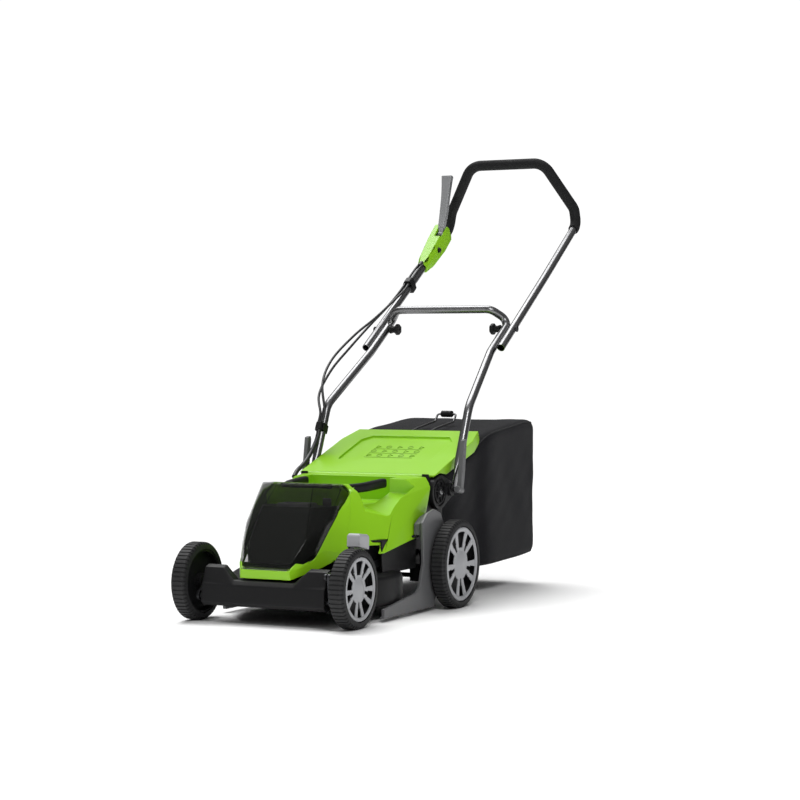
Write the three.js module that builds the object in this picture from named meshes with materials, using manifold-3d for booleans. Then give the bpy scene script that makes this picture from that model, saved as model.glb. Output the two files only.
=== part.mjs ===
import * as THREE from "three";
import { ConvexGeometry } from "three/addons/geometries/ConvexGeometry.js";
import { mergeVertices } from "three/addons/utils/BufferGeometryUtils.js";
import Module from "manifold-3d";

const wasm = await Module();
wasm.setup();

// All sizes are in millimetres. While modelling, Y = 0 is the rear wheels' centre line,
// the front is toward -Y, X = 0 is the middle plane and Z = 0 the floor.
// The finished group is moved along Y so that its box is centred on the origin.

// Wheels and axles
const FRONT_WHEEL_RADIUS = 80;
const REAR_WHEEL_RADIUS = 95;
const WHEELBASE = 416;
const TYRE_WIDTH = 35;
const FRONT_FACE_X = 164 + TYRE_WIDTH;
const REAR_FACE_X = 194 + TYRE_WIDTH;
const SIDEWALL = 14;
const TREAD_FACETS = 32;
const RUNNING_GAP = 0.3;
const STUB_RADIUS = 5;
const CRANK_BACK = 37;
const CRANK_UP = 25;
const CRANK_INNER_X = 150;
const CRANK_THICK = 6;
const AXLE_HALF = 149.5;
const LINK_ARM = 52;
const LINK_TILT = 10;
const LINK_INNER_X = 142.4;

// Deck and blade
const CHAMBER_Y = -235;
const RING_RADIUS = 180;
const RING_WALL = 4;
const RING_BOTTOM = 30;
const ROOF_Z = 92;
const ROOF_THICK = 4;
const BLADE_RADIUS = 170;
const SHAFT_RADIUS = 8;
const MOTOR_RADIUS = 58;
const FLANGE_Z = 160;
const TUNNEL_HALF = 100;
const SKIN = 3;

// Handle
const TUBE_RADIUS = 9.5;
const TUBE_BORE = 8.2;
const UPPER_X = 174;
const TUBES_APART = 1;
const LOWER_TOP_X = UPPER_X - 2 * TUBE_RADIUS - TUBES_APART;
const LOWER_FOOT_X = 178;
const CLAMP_Y = 394;
const CLAMP_Z = 604;
const PIVOT_Y = 62;
const PIVOT_Z = 250;
const HANDLE_TOP_Y = 759;
const HANDLE_TOP_Z = 1020;
const GRIP_RADIUS = 13;
const BOLT_RADIUS = 3.2;
const BOSS_Y = 14;
const BOSS_Z = 247;

// Flap and bag
const FLAP_Y = -12;
const FLAP_Z = 284;
const FLAP_SLOPE = 18.4;
const FLAP_LENGTH = 276;
const FLAP_THICK = 3;
const BAG_REAR_Y = 557;
const BAG_HALF = 164;
const CLOTH = 2;

const FRONT_AXLE = { y: -WHEELBASE, z: FRONT_WHEEL_RADIUS };
const REAR_AXLE = { y: 0, z: REAR_WHEEL_RADIUS };
const FRONT_PIVOT = { y: FRONT_AXLE.y - CRANK_BACK, z: FRONT_AXLE.z - CRANK_UP };
const REAR_PIVOT = { y: REAR_AXLE.y - CRANK_BACK, z: REAR_AXLE.z - CRANK_UP };

// Materials
const LIME = { color: 0x8bd622, roughness: 0.35 };
const BLACK = { color: 0x1b1c1e, roughness: 0.55 };
const CHARCOAL = { color: 0x35363a, roughness: 0.5 };
const GREY = { color: 0xa9adb1, roughness: 0.45 };
const RUBBER = { color: 0x17181a, roughness: 0.85 };
const STEEL = { color: 0xb9bcc0, roughness: 0.25, metalness: 1 };
const DARK_STEEL = { color: 0x3a3c40, roughness: 0.4, metalness: 1 };
const FABRIC = { color: 0x26262a, roughness: 0.95 };
const FOAM = { color: 0x151517, roughness: 0.95 };
const SMOKE = { color: 0x30353a, roughness: 0.1, transparent: true, opacity: 0.5 };

const group = new THREE.Group();
const rad = THREE.MathUtils.degToRad;
const V = (x, y, z) => new THREE.Vector3(x, y, z);

// Solids

function solid(geometry) {
  const plain = geometry.clone();
  plain.deleteAttribute("normal");
  plain.deleteAttribute("uv");
  const joined = mergeVertices(plain, 1e-4);
  return new wasm.Manifold(new wasm.Mesh({
    numProp: 3,
    vertProperties: new Float32Array(joined.attributes.position.array),
    triVerts: new Uint32Array(joined.index.array),
  }));
}

function geometryOf(body) {
  const mesh = body.getMesh();
  const geometry = new THREE.BufferGeometry();
  const points = new Float32Array(mesh.vertProperties);
  geometry.setAttribute("position", new THREE.BufferAttribute(points, 3));
  geometry.setIndex(new THREE.BufferAttribute(new Uint32Array(mesh.triVerts), 1));
  return geometry;
}

function place(name, body, look) {
  const geometry = body.isBufferGeometry ? body : geometryOf(body);
  const shape = geometry.index ? geometry.toNonIndexed() : geometry;
  shape.computeVertexNormals();
  const mesh = new THREE.Mesh(shape, new THREE.MeshStandardMaterial(look));
  mesh.name = name;
  group.add(mesh);
}

const join = (first, ...rest) => rest.reduce((all, one) => all.add(one), first);
const cut = (first, ...rest) => rest.reduce((all, one) => all.subtract(one), first);

const SWAP = {
  x: new THREE.Matrix4().set(0, 0, 1, 0, 1, 0, 0, 0, 0, 1, 0, 0, 0, 0, 0, 1),
  y: new THREE.Matrix4().set(0, 1, 0, 0, 0, 0, 1, 0, 1, 0, 0, 0, 0, 0, 0, 1),
  z: new THREE.Matrix4(),
};

function outline(points) {
  return new THREE.Shape(points.map(([a, b]) => new THREE.Vector2(a, b)));
}

// A flat outline made thick along one axis. The outline's two numbers are
// (y, z) along x, (z, x) along y and (x, y) along z.
function slab(axis, points, from, to) {
  const geometry = new THREE.ExtrudeGeometry(outline(points), { depth: to - from, bevelEnabled: false });
  geometry.translate(0, 0, from);
  geometry.applyMatrix4(SWAP[axis]);
  return solid(geometry);
}

function block(x0, x1, y0, y1, z0, z1) {
  const geometry = new THREE.BoxGeometry(x1 - x0, y1 - y0, z1 - z0);
  geometry.translate((x0 + x1) / 2, (y0 + y1) / 2, (z0 + z1) / 2);
  return solid(geometry);
}

// A solid of revolution about an axis through `at`; the profile is [radius, along].
function turned(axis, at, profile, facets, phase = 0) {
  const points = profile.map(([r, h]) => new THREE.Vector2(r, h));
  const geometry = new THREE.LatheGeometry(points, facets, phase);
  geometry.rotateX(Math.PI / 2);
  geometry.applyMatrix4(SWAP[axis]);
  geometry.translate(...at);
  const body = solid(geometry);
  return body.volume() < 0 ? solid(flipped(geometry)) : body;
}

function flipped(geometry) {
  const copy = geometry.clone();
  const index = copy.index.array;
  for (let i = 0; i < index.length; i += 3) {
    [index[i], index[i + 1]] = [index[i + 1], index[i]];
  }
  return copy;
}

function rod(axis, at, radius, from, to, facets = 20) {
  return turned(axis, at, [[0, from], [radius, from], [radius, to], [0, to]], facets);
}

function hull(points) {
  return solid(new ConvexGeometry(points));
}

const bothSides = (points) => points.flatMap(([x, y, z]) => [V(x, y, z), V(-x, y, z)]);

function grown(points, by) {
  return points.flatMap((p) => [
    V(p.x + by, p.y, p.z), V(p.x - by, p.y, p.z),
    V(p.x, p.y + by, p.z), V(p.x, p.y - by, p.z),
    V(p.x, p.y, p.z + by), V(p.x, p.y, p.z - by),
  ]);
}

// The same hull with its faces pulled in by about `by`.
function shrunk(points, by) {
  const steps = [[by, 0, 0], [-by, 0, 0], [0, by, 0], [0, -by, 0], [0, 0, by], [0, 0, -by]];
  return steps
    .map((s) => hull(points.map((p) => p.clone().add(V(...s)))))
    .reduce((all, one) => all.intersect(one));
}

const moved = (points, x, y, z) => points.map((p) => p.clone().add(V(x, y, z)));

// A centre line of straight runs and round bends, with stations only where it turns.
class BentLine extends THREE.Curve {
  constructor(corners, radius, perBend = 6) {
    super();
    this.points = [];
    this.tangents = [];
    const last = corners.length - 1;
    corners.forEach((corner, i) => {
      if (i === 0 || i === last) {
        const other = corners[i === 0 ? 1 : last - 1];
        const way = other.clone().sub(corner).normalize().multiplyScalar(i === 0 ? 1 : -1);
        this.points.push(corner.clone());
        this.tangents.push(way);
        return;
      }
      const before = corner.clone().sub(corners[i - 1]).normalize();
      const after = corners[i + 1].clone().sub(corner).normalize();
      const turn = before.angleTo(after);
      if (turn < 0.01) {
        return;
      }
      const bend = Array.isArray(radius) ? radius[i - 1] : radius;
      const reach = bend * Math.tan(turn / 2);
      const start = corner.clone().addScaledVector(before, -reach);
      const inward = after.clone().addScaledVector(before, -before.dot(after)).normalize();
      const steps = Math.max(2, Math.ceil((turn / (Math.PI / 2)) * perBend));
      for (let k = 0; k <= steps; k += 1) {
        const angle = (turn * k) / steps;
        const point = start.clone()
          .addScaledVector(before, bend * Math.sin(angle))
          .addScaledVector(inward, bend * (1 - Math.cos(angle)));
        const way = before.clone().multiplyScalar(Math.cos(angle))
          .addScaledVector(inward, Math.sin(angle));
        this.points.push(point);
        this.tangents.push(way);
      }
    });
    this.steps = this.points.length - 1;
  }

  getPointAt(u) {
    return this.points[Math.round(u * this.steps)].clone();
  }

  getTangentAt(u) {
    return this.tangents[Math.round(u * this.steps)].clone();
  }
}

function round(radius, sides) {
  return Array.from({ length: sides }, (_, i) => {
    const angle = (2 * Math.PI * (i + 0.5)) / sides;
    return [radius * Math.cos(angle), radius * Math.sin(angle)];
  });
}

function sweep(section, line) {
  const shape = outline(section);
  return solid(new THREE.ExtrudeGeometry(shape, { extrudePath: line, steps: line.steps, bevelEnabled: false }));
}

// A slab whose outline lies across X, made for one side (+1 right, -1 left).
function sideSlab(side, points, inner, outer) {
  return side > 0 ? slab("x", points, inner, outer) : slab("x", points, -outer, -inner);
}

function sideRod(side, y, z, radius, inner, outer, facets = 20) {
  return side > 0
    ? rod("x", [0, y, z], radius, inner, outer, facets)
    : rod("x", [0, y, z], radius, -outer, -inner, facets);
}

// Two round ends and the straight edges between them, as a flat outline.
function capsule(a, ra, b, rb, facets = 7) {
  const turn = Math.atan2(b[1] - a[1], b[0] - a[0]);
  const spread = Math.acos((ra - rb) / Math.hypot(b[0] - a[0], b[1] - a[1]));
  const points = [];
  for (let i = 0; i <= facets; i += 1) {
    const angle = turn + spread + ((2 * Math.PI - 2 * spread) * i) / facets;
    points.push([a[0] + ra * Math.cos(angle), a[1] + ra * Math.sin(angle)]);
  }
  for (let i = 0; i <= facets; i += 1) {
    const angle = turn - spread + (2 * spread * i) / facets;
    points.push([b[0] + rb * Math.cos(angle), b[1] + rb * Math.sin(angle)]);
  }
  return points;
}

// The flap is drawn flat and tilted about its hinge.
const flapMatrix = new THREE.Matrix4()
  .makeTranslation(0, FLAP_Y, FLAP_Z)
  .multiply(new THREE.Matrix4().makeRotationX(rad(FLAP_SLOPE)));
function flapSlab(points, from, to) {
  const geometry = new THREE.ExtrudeGeometry(outline(points), { depth: to - from, bevelEnabled: false });
  geometry.translate(0, 0, from);
  geometry.applyMatrix4(flapMatrix);
  return solid(geometry);
}
function tiltedSlab(points, from, to) {
  const geometry = new THREE.ExtrudeGeometry(outline(points), { depth: to - from, bevelEnabled: false });
  geometry.translate(0, 0, from);
  geometry.applyMatrix4(SWAP.x);
  geometry.applyMatrix4(flapMatrix);
  return solid(geometry);
}

// Wheels

function wheel(tag, side, axle, radius, face) {
  const x = (along) => side * (face - along);
  const at = [0, axle.y, axle.z];
  const seat = radius - SIDEWALL;
  const outer = radius / Math.cos(Math.PI / TREAD_FACETS);
  const along = (profile) => profile.map(([r, h]) => [r, x(h)]);
  const tyre = [
    [seat, 0], [outer - 4, 0], [outer, 5], [outer, TYRE_WIDTH - 5],
    [outer - 4, TYRE_WIDTH], [seat, TYRE_WIDTH], [seat, 0],
  ];
  place(`tyre_${tag}`, turned("x", at, along(tyre), TREAD_FACETS, Math.PI / TREAD_FACETS), RUBBER);

  const rim = seat * Math.cos(Math.PI / TREAD_FACETS) - RUNNING_GAP;
  const bore = STUB_RADIUS + RUNNING_GAP;
  const core = [
    [bore, 10], [16, 10], [16, 18], [rim - 4, 18], [rim - 4, 8], [rim, 8], [rim, TYRE_WIDTH - 2],
    [rim - 4, TYRE_WIDTH - 2], [rim - 4, 22], [16, 22], [16, TYRE_WIDTH], [bore, TYRE_WIDTH], [bore, 10],
  ];
  place(`wheel_${tag}`, turned("x", at, along(core), 14), BLACK);

  const edge = rim - 0.5;
  const dome = [
    [0, 0.6], [edge * 0.36, 4], [edge * 0.89, 3], [edge * 0.94, 0.6], [edge, 0.6], [edge, 7], [0, 7],
  ];
  let cap = turned("x", at, along(dome), 24);
  for (let i = 0; i < 10; i += 1) {
    const middle = (2 * Math.PI * i) / 10;
    const wide = i % 2 === 0;
    const inner = edge * (wide ? 0.42 : 0.38);
    const outerEdge = edge * 0.87;
    const near = (wide ? 0.42 : 0.24) / 2;
    const far = (wide ? 0.48 : 0.34) / 2;
    const corner = (r, a) => [
      axle.y + r * Math.sin(middle + a), axle.z + r * Math.cos(middle + a),
    ];
    const window = [corner(inner, near), corner(inner, -near), corner(outerEdge, -far), corner(outerEdge, far)];
    cap = cap.subtract(sideSlab(side, window.reverse(), face - 12, face + 2));
  }
  place(`hub_cap_${tag}`, cap, GREY);
}

wheel("front_left", -1, FRONT_AXLE, FRONT_WHEEL_RADIUS, FRONT_FACE_X);
wheel("front_right", 1, FRONT_AXLE, FRONT_WHEEL_RADIUS, FRONT_FACE_X);
wheel("rear_left", -1, REAR_AXLE, REAR_WHEEL_RADIUS, REAR_FACE_X);
wheel("rear_right", 1, REAR_AXLE, REAR_WHEEL_RADIUS, REAR_FACE_X);

// Cranked axles, height lever and link

const crankOuter = CRANK_INNER_X + CRANK_THICK;

function linkPin(pivot) {
  return [pivot.y - LINK_ARM * Math.sin(rad(LINK_TILT)), pivot.z + LINK_ARM * Math.cos(rad(LINK_TILT))];
}

function axle(pivot, stub, stubEnd) {
  const crank = capsule([pivot.y, pivot.z], 10, [stub.y, stub.z], 9);
  let body = rod("x", [0, pivot.y, pivot.z], STUB_RADIUS, -AXLE_HALF - 1, AXLE_HALF + 1, 12);
  for (const side of [-1, 1]) {
    body = join(
      body,
      sideSlab(side, crank, CRANK_INNER_X, crankOuter),
      sideRod(side, stub.y, stub.z, STUB_RADIUS, crankOuter - 1, stubEnd, 12),
      sideRod(side, stub.y, stub.z, 8, crankOuter - 1, stubEnd - TYRE_WIDTH + 4, 12),
    );
  }
  const arm = capsule([pivot.y, pivot.z], 10, linkPin(pivot), 7);
  const pinAt = linkPin(pivot);
  return join(
    body,
    sideSlab(1, arm, CRANK_INNER_X, crankOuter),
    sideRod(1, pinAt[0], pinAt[1], 3.5, LINK_INNER_X, CRANK_INNER_X + 1, 16),
  );
}

const LEVER_FOOT = [FRONT_PIVOT.y, FRONT_PIVOT.z];
const LEVER_TOP = [FRONT_PIVOT.y + 82, FRONT_PIVOT.z + 115];
const lever = sideSlab(1, capsule(LEVER_FOOT, 10, LEVER_TOP, 8), crankOuter - 1, crankOuter + 4);
place("front_axle", join(axle(FRONT_PIVOT, FRONT_AXLE, FRONT_FACE_X - 7), lever), DARK_STEEL);
place("rear_axle", axle(REAR_PIVOT, REAR_AXLE, REAR_FACE_X - 7), DARK_STEEL);

const KNOB = { inner: 153, outer: 183 };
const knobBlock = hull([
  ...[KNOB.inner, KNOB.outer].flatMap((x) => [
    V(x, FRONT_AXLE.y + 24, 161), V(x, FRONT_AXLE.y + 66, 153),
    V(x, FRONT_AXLE.y + 67, 180), V(x, FRONT_AXLE.y + 25, 184),
  ]),
  ...[KNOB.inner + 3, KNOB.outer - 3].flatMap((x) => [
    V(x, FRONT_AXLE.y + 63, 184), V(x, FRONT_AXLE.y + 29, 188),
  ]),
]);
const leverSlot = sideSlab(1, capsule(LEVER_FOOT, 11, LEVER_TOP, 9), crankOuter - 1.5, crankOuter + 4.5);
place("height_knob", cut(knobBlock, leverSlot), GREY);

const frontPin = linkPin(FRONT_PIVOT);
const rearPin = linkPin(REAR_PIVOT);
place("link_rod", cut(
  slab("x", capsule(frontPin, 7, rearPin, 7), LINK_INNER_X + 0.6, CRANK_INNER_X - 2),
  sideRod(1, frontPin[0], frontPin[1], 3.5 + RUNNING_GAP, 140, 150, 16),
  sideRod(1, rearPin[0], rearPin[1], 3.5 + RUNNING_GAP, 140, 150, 16),
), DARK_STEEL);

// Deck shell: blade chamber, tray for the motor, discharge tunnel and rear towers

const chamberAt = [0, CHAMBER_Y, 0];
const ring = turned("z", chamberAt, [
  [0, RING_BOTTOM], [RING_RADIUS, RING_BOTTOM], [RING_RADIUS, 82], [RING_RADIUS - 4, 90],
  [RING_RADIUS - 14, ROOF_Z + ROOF_THICK], [0, ROOF_Z + ROOF_THICK],
], 40);
const ringHollow = turned("z", chamberAt, [
  [0, RING_BOTTOM - 5], [RING_RADIUS - RING_WALL, RING_BOTTOM - 5], [RING_RADIUS - RING_WALL, 81],
  [RING_RADIUS - 14, ROOF_Z], [0, ROOF_Z],
], 40);
const TRAY_HALF = 136;
const TRAY_FRONT = -330;
const TRAY_REAR = 50;
const TRAY_NOSE = 104;
const TRAY_SHOULDER = -285;
function trayOutline(by, rear = TRAY_REAR + by) {
  return [
    [-TRAY_NOSE - by / 2, TRAY_FRONT - by], [TRAY_NOSE + by / 2, TRAY_FRONT - by],
    [TRAY_HALF + by, TRAY_SHOULDER - by / 2], [TRAY_HALF + by, rear],
    [-TRAY_HALF - by, rear], [-TRAY_HALF - by, TRAY_SHOULDER - by / 2],
  ];
}
const tray = slab("z", trayOutline(0), ROOF_Z, FLANGE_Z);
const trayHollow = slab("z", trayOutline(-SKIN), ROOF_Z + ROOF_THICK, FLANGE_Z + 5);
function flangeOutline(by) {
  const half = 160.5 + by;
  const wide = 175 + by;
  return [
    [-TRAY_NOSE, TRAY_FRONT - by], [TRAY_NOSE, TRAY_FRONT - by], [131 + by, TRAY_SHOULDER - by],
    [half, -248 - by], [half, -125 - by], [wide, -118 - by], [wide, TRAY_REAR],
    [-wide, TRAY_REAR], [-wide, -118 - by], [-half, -125 - by], [-half, -248 - by],
    [-131 - by, TRAY_SHOULDER - by],
  ];
}
const flange = cut(
  slab("z", flangeOutline(0), FLANGE_Z - 0.5, FLANGE_Z + SKIN),
  slab("z", trayOutline(-SKIN), FLANGE_Z - 5, FLANGE_Z + 10),
);
const ledges = [-1, 1].map((side) => sideSlab(side, [
  [-250, 128], [-246, 92], [-92, 92], [-88, 150], [-88, FLANGE_Z + 1], [-250, FLANGE_Z + 1],
], 157.5, 160.5));
const apron = block(-140, 140, FRONT_AXLE.y - 19.5, -300, 87, 91);
const towers = [-1, 1].map((side) => sideSlab(side, [
  [-40, FLANGE_Z], [48, FLANGE_Z], [48, 268], [34, 276], [2, 276], [-3, 285], [-20, 287], [-23, 262],
], 140.5, 157));
const tunnelOuter = [
  [-60, 88], [-60, 77], [-30, 88], [TRAY_REAR, 112], [TRAY_REAR, 240], [-20, 222], [-172, ROOF_Z + ROOF_THICK],
];
const tunnelInner = [
  [-150, 70], [-60, 70], [-60, 81], [-30, 91], [TRAY_REAR + 5, 116], [TRAY_REAR + 5, 237],
  [-20, 218], [-160, 99], [-168, 85], [-160, 70],
];
const saddles = [-1, 1].map((side) => sideSlab(side, [
  [-50, 58], [-24, 58], [-24, ROOF_Z + 1], [-50, ROOF_Z + 1],
], TRAY_HALF - 10, AXLE_HALF - 2.5));
const shaftHole = rod("z", chamberAt, SHAFT_RADIUS + 3, ROOF_Z - 5, ROOF_Z + 10);
const axleHole = rod("x", [0, REAR_PIVOT.y, REAR_PIVOT.z], STUB_RADIUS + RUNNING_GAP, -150, 150, 16);
const rearPlate = block(-TRAY_HALF, TRAY_HALF, TRAY_REAR - SKIN, TRAY_REAR, ROOF_Z, 255);
const towerFeet = [-1, 1].map((side) => (
  side > 0
    ? block(TRAY_HALF - SKIN, 141, -30, TRAY_REAR, FLANGE_Z - 1, 240)
    : block(-141, -TRAY_HALF + SKIN, -30, TRAY_REAR, FLANGE_Z - 1, 240)
));
const deckShell = cut(
  join(
    cut(join(ring, tray), trayHollow),
    flange, apron, ...ledges, ...towers, ...towerFeet, rearPlate, ...saddles,
    slab("x", tunnelOuter, -TUNNEL_HALF - SKIN, TUNNEL_HALF + SKIN),
  ),
  ringHollow,
  slab("x", tunnelInner, -TUNNEL_HALF, TUNNEL_HALF),
  shaftHole,
  axleHole,
  block(-90, 90, TRAY_FRONT - 5, -284, ROOF_Z + ROOF_THICK, FLANGE_Z + 10),
  rod("x", [0, FLAP_Y, FLAP_Z - 4], 3 + RUNNING_GAP, -160, 160, 16),
  tiltedSlab([[-6, 40], [-6, -8.5], [30, -9], [60, -25], [120, -31], [120, 60]], -200, 200),
);
place("deck_shell", deckShell, BLACK);

// Front bumper beam with its two raised ends

const BEAM_HALF = 142;
const BEAM_BACK = FRONT_AXLE.y - 20;
const beamSection = (back) => [
  [back, 38], [back - 22, 36], [back - 31, 44], [back - 29, 80], [back - 21, 90], [back, 90],
];
const endSection = (back) => [
  [back, 38], [back - 20, 36], [back - 27, 46], [back - 25, 84], [back - 14, 114], [back, 119],
];
const RAISED_FROM = 98;
const RAISED_FOOT = 70;
const raisedEnd = (side) => hull([
  ...endSection(BEAM_BACK).map(([y, z]) => V(side * BEAM_HALF, y, z)),
  ...endSection(BEAM_BACK).map(([y, z]) => V(side * RAISED_FROM, y, z)),
  ...beamSection(BEAM_BACK).map(([y, z]) => V(side * RAISED_FOOT, y, z)),
]);
const beamOuter = join(
  slab("x", beamSection(BEAM_BACK), -BEAM_HALF, BEAM_HALF),
  raisedEnd(1),
  raisedEnd(-1),
);
const beamHollow = slab("x", [
  [BEAM_BACK + 6, 30], [BEAM_BACK - 19, 30], [BEAM_BACK - 27, 46],
  [BEAM_BACK - 25, 79], [BEAM_BACK - 18, 86], [BEAM_BACK + 6, 86],
], -BEAM_HALF + 4, BEAM_HALF - 4);
place("front_bumper", cut(
  beamOuter,
  beamHollow,
  rod("x", [0, FRONT_PIVOT.y, FRONT_PIVOT.z], STUB_RADIUS + RUNNING_GAP, -150, 150, 16),
), BLACK);

// Side skirts: an upright ahead of each rear wheel and a foot that runs forward

for (const [side, tag] of [[-1, "left"], [1, "right"]]) {
  const foot = [
    [-300, 8], [-64, 8], [-40, 72], [-6, 138], [-10, 175], [-32, 206], [-62, 216], [-95, 209],
    [-120, 190], [-115, 105], [-133, 56], [-150, 46], [-300, 27],
  ];
  const shelf = [
    [-300, 8], [-150, 8], [-150, 12], [-300, 12],
  ];
  place(`side_skirt_${tag}`, join(
    sideSlab(side, foot, 184, 191.5),
    sideSlab(side, [
      [-118, FLANGE_Z + SKIN + 0.5], [-20, FLANGE_Z + SKIN + 0.5], [-34, 200], [-62, 208], [-95, 200], [-118, 188],
    ], 169, 186),
    sideSlab(side, shelf, 181, 186),
  ), CHARCOAL);
}

// Hood, and the hull of points it shares with its recess in the cowl

const hoodPoints = bothSides([
  [49, -456, 113], [73, -425, 124], [70, -416, 168], [67, -382, 209], [66, -355, 233],
  [55, -320, 277], [41, -330, 281], [85, -404, 133], [88, -394, 159], [94, -366, 200],
  [98, -345, 213], [102, -272, 232], [102, -276, 258], [96, -296, 279], [80, -276, 279],
  [96, -272, 262],
]);
const HINGE = { y: -279, z: 272 };
const hoodShell = cut(
  hull(hoodPoints),
  shrunk([...hoodPoints, ...moved(hoodPoints, 0, 9, -12)], SKIN),
);
const hoodHinge = rod("x", [0, HINGE.y, HINGE.z], 4, -60, 60, 12);
place("hood", join(hoodShell, hoodHinge, block(-60, 60, HINGE.y - 2, HINGE.y + 2, HINGE.z, HINGE.z + 5)), SMOKE);

// Cowl

const bodyPoints = bothSides([
  [165, -245, 136], [168, -95, 158], [166, -50, 208], [164, -24, 262], [152, -24, 281],
  [150, -169, 241], [150, -60, 243], [113, -285, 240], [104, -280, 262], [110, -24, 284],
  [84, -272, 277], [98, -372, 150], [101, -372, 128],
]);
const prowPoints = bothSides([
  [58, -453, 94], [56, -455, 112], [75, -426, 121], [96, -384, 116], [95, -380, 150],
  [121, -330, 140], [110, -300, 238], [104, -280, 262], [84, -272, 277], [95, -340, 220],
  [126, -290, 150],
]);
const cowlOuter = join(hull(bodyPoints), hull(prowPoints));
const cowlInner = join(
  shrunk(bodyPoints, 4), shrunk(prowPoints, 4),
  shrunk(moved(bodyPoints, 0, 0, -40), 4), shrunk(moved(prowPoints, 0, 0, -30), 4),
);
const hoodRoom = hull(grown(hoodPoints, 0.8));
// The room the hood needs as it swings up about its hinge.
const hoodSwing = [3, 6, 12, 24, 36, 48].map((angle) => hull(grown(hoodPoints, 0.8).map((p) => {
  const y = p.y - HINGE.y;
  const z = p.z - HINGE.z;
  const c = Math.cos(rad(angle));
  const s = Math.sin(rad(angle));
  return V(p.x, HINGE.y + y * c + z * s, HINGE.z - y * s + z * c);
})));
const POCKET = { half: 104, front: -257, rear: -64, floor: 232 };
const pocketBox = (by) => block(
  -POCKET.half - by, POCKET.half + by, POCKET.front - by, POCKET.rear + by, POCKET.floor - by, 300,
);
// A scoop opens the pocket to each side, so that fingers reach round the handle's ends.
const scoopPoints = (side) => [
  V(side * 90, -259, 236), V(side * 90, -205, 231), V(side * 90, -112, 253),
  V(side * 90, -259, 300), V(side * 90, -112, 300), V(side * 152, -259, 214),
  V(side * 152, -205, 209), V(side * 152, -80, 247), V(side * 152, -259, 300), V(side * 152, -80, 300),
];
const scoops = [-1, 1].map((side) => hull(scoopPoints(side)));
const scoopWalls = [-1, 1].map((side) => hull(grown(scoopPoints(side), SKIN)));
const bossRoom = [-1, 1].map((side) => sideRod(side, BOSS_Y, BOSS_Z, 41, 155, 180, 32));
const towerRoom = [-1, 1].map((side) => sideSlab(side, [
  [-45, 120], [60, 120], [60, 280], [-8, 280], [-26, 266],
], 138, 175));
const bulkhead = block(-100, 100, -264, -261, 164, 274);
const cowl = cut(
  join(
    cut(cowlOuter, cowlInner),
    join(pocketBox(SKIN), ...scoopWalls).intersect(cowlOuter),
    bulkhead.intersect(cowlOuter),
  ),
  hoodRoom,
  ...hoodSwing,
  rod("x", [0, HINGE.y, HINGE.z], 8.6, -104, 104),
  pocketBox(0),
  ...scoops,
  ...bossRoom,
  ...towerRoom,
  block(-200, 200, -60, 60, 60, 163.5),
  slab("z", flangeOutline(0.5), FLANGE_Z - 1, FLANGE_Z + SKIN + 0.5),
  ...[-1, 1].map((side) => sideSlab(side, [[-251, 60], [-87, 60], [-87, 163], [-251, 163]], 157, 161)),
  ...[-1, 1].map((side) => sideSlab(side, [[-500, 60], [-90, 60], [-90, 153], [-500, 153]], 138, 157)),
  slab("z", trayOutline(2, -90), 60, FLANGE_Z + SKIN + 1),
  slab("x", [[-60, 60], [80, 60], [80, 243], [-20, 225], [-60, 190]], -106, 106),
);
place("cowl", cowl, LIME);

// Battery bay, battery and key

const bayPoints = bothSides([
  [47, -431, 123], [61, -410, 125], [64, -404, 165], [60, -375, 208], [60, -356, 234],
  [76, -392, 140], [82, -350, 200], [84, -318, 234], [84, -292, 234], [84, -292, 170], [60, -300, 123],
]);
const KEY = { x: 62, y: -305 };
const BATTERY = { half: 39, front: -345, rear: -297, floor: 127, top: 240 };
const BATTERY_GAP = 1;
const wellSpace = (by, top) => block(
  -BATTERY.half - by, BATTERY.half + by, BATTERY.front - by, BATTERY.rear + by, BATTERY.floor - by, top,
);
const wellBox = wellSpace(BATTERY_GAP, 260);
const wellWalls = wellSpace(BATTERY_GAP + SKIN, 233);
const bay = cut(
  join(cut(hull(bayPoints), shrunk(bayPoints, 3.5), shrunk(moved(bayPoints, 0, 0, -20), 3.5)), wellWalls),
  wellBox,
  block(KEY.x - 5.5, KEY.x + 5.5, KEY.y - 2, KEY.y + 2, 215, 240),
  block(-14, 14, BATTERY.rear, -280, 228, 245),
);
place("battery_bay", bay, BLACK);

const battery = cut(
  join(
    block(-BATTERY.half, BATTERY.half, BATTERY.front, BATTERY.rear, BATTERY.floor, 232),
    hull([
      ...[-1, 1].flatMap((side) => [
        V(side * BATTERY.half, BATTERY.front, 231), V(side * BATTERY.half, BATTERY.rear, 231),
        V(side * (BATTERY.half - 4), BATTERY.front + 5, 240), V(side * (BATTERY.half - 4), BATTERY.rear - 3, 240),
      ]),
    ]),
  ),
  block(-26, 26, BATTERY.front + 14, BATTERY.rear - 12, 226, 245),
);
place("battery_pack", join(
  battery,
  block(-26.5, 26.5, (BATTERY.front + BATTERY.rear) / 2 - 3, (BATTERY.front + BATTERY.rear) / 2 + 5, 232, 239),
), CHARCOAL);

place("safety_key", join(
  block(KEY.x - 9, KEY.x + 9, KEY.y - 3, KEY.y + 3, 235, 250),
  block(KEY.x - 5, KEY.x + 5, KEY.y - 1.5, KEY.y + 1.5, 222, 236),
), CHARCOAL);

// Carry handle across the pocket

const carryLine = new BentLine([
  V(-95, -112, 272), V(-91, -196, 267), V(-62, -238, 264),
  V(62, -238, 264), V(91, -196, 267), V(95, -112, 272),
], [50, 30, 30, 50], 5);
const carrySection = [[-9, -7], [-9, 7], [-5, 10], [5, 10], [9, 7], [9, -7], [5, -10], [-5, -10]];
place("carry_handle", sweep(carrySection, carryLine), BLACK);

// Motor, shaft and blade

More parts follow.
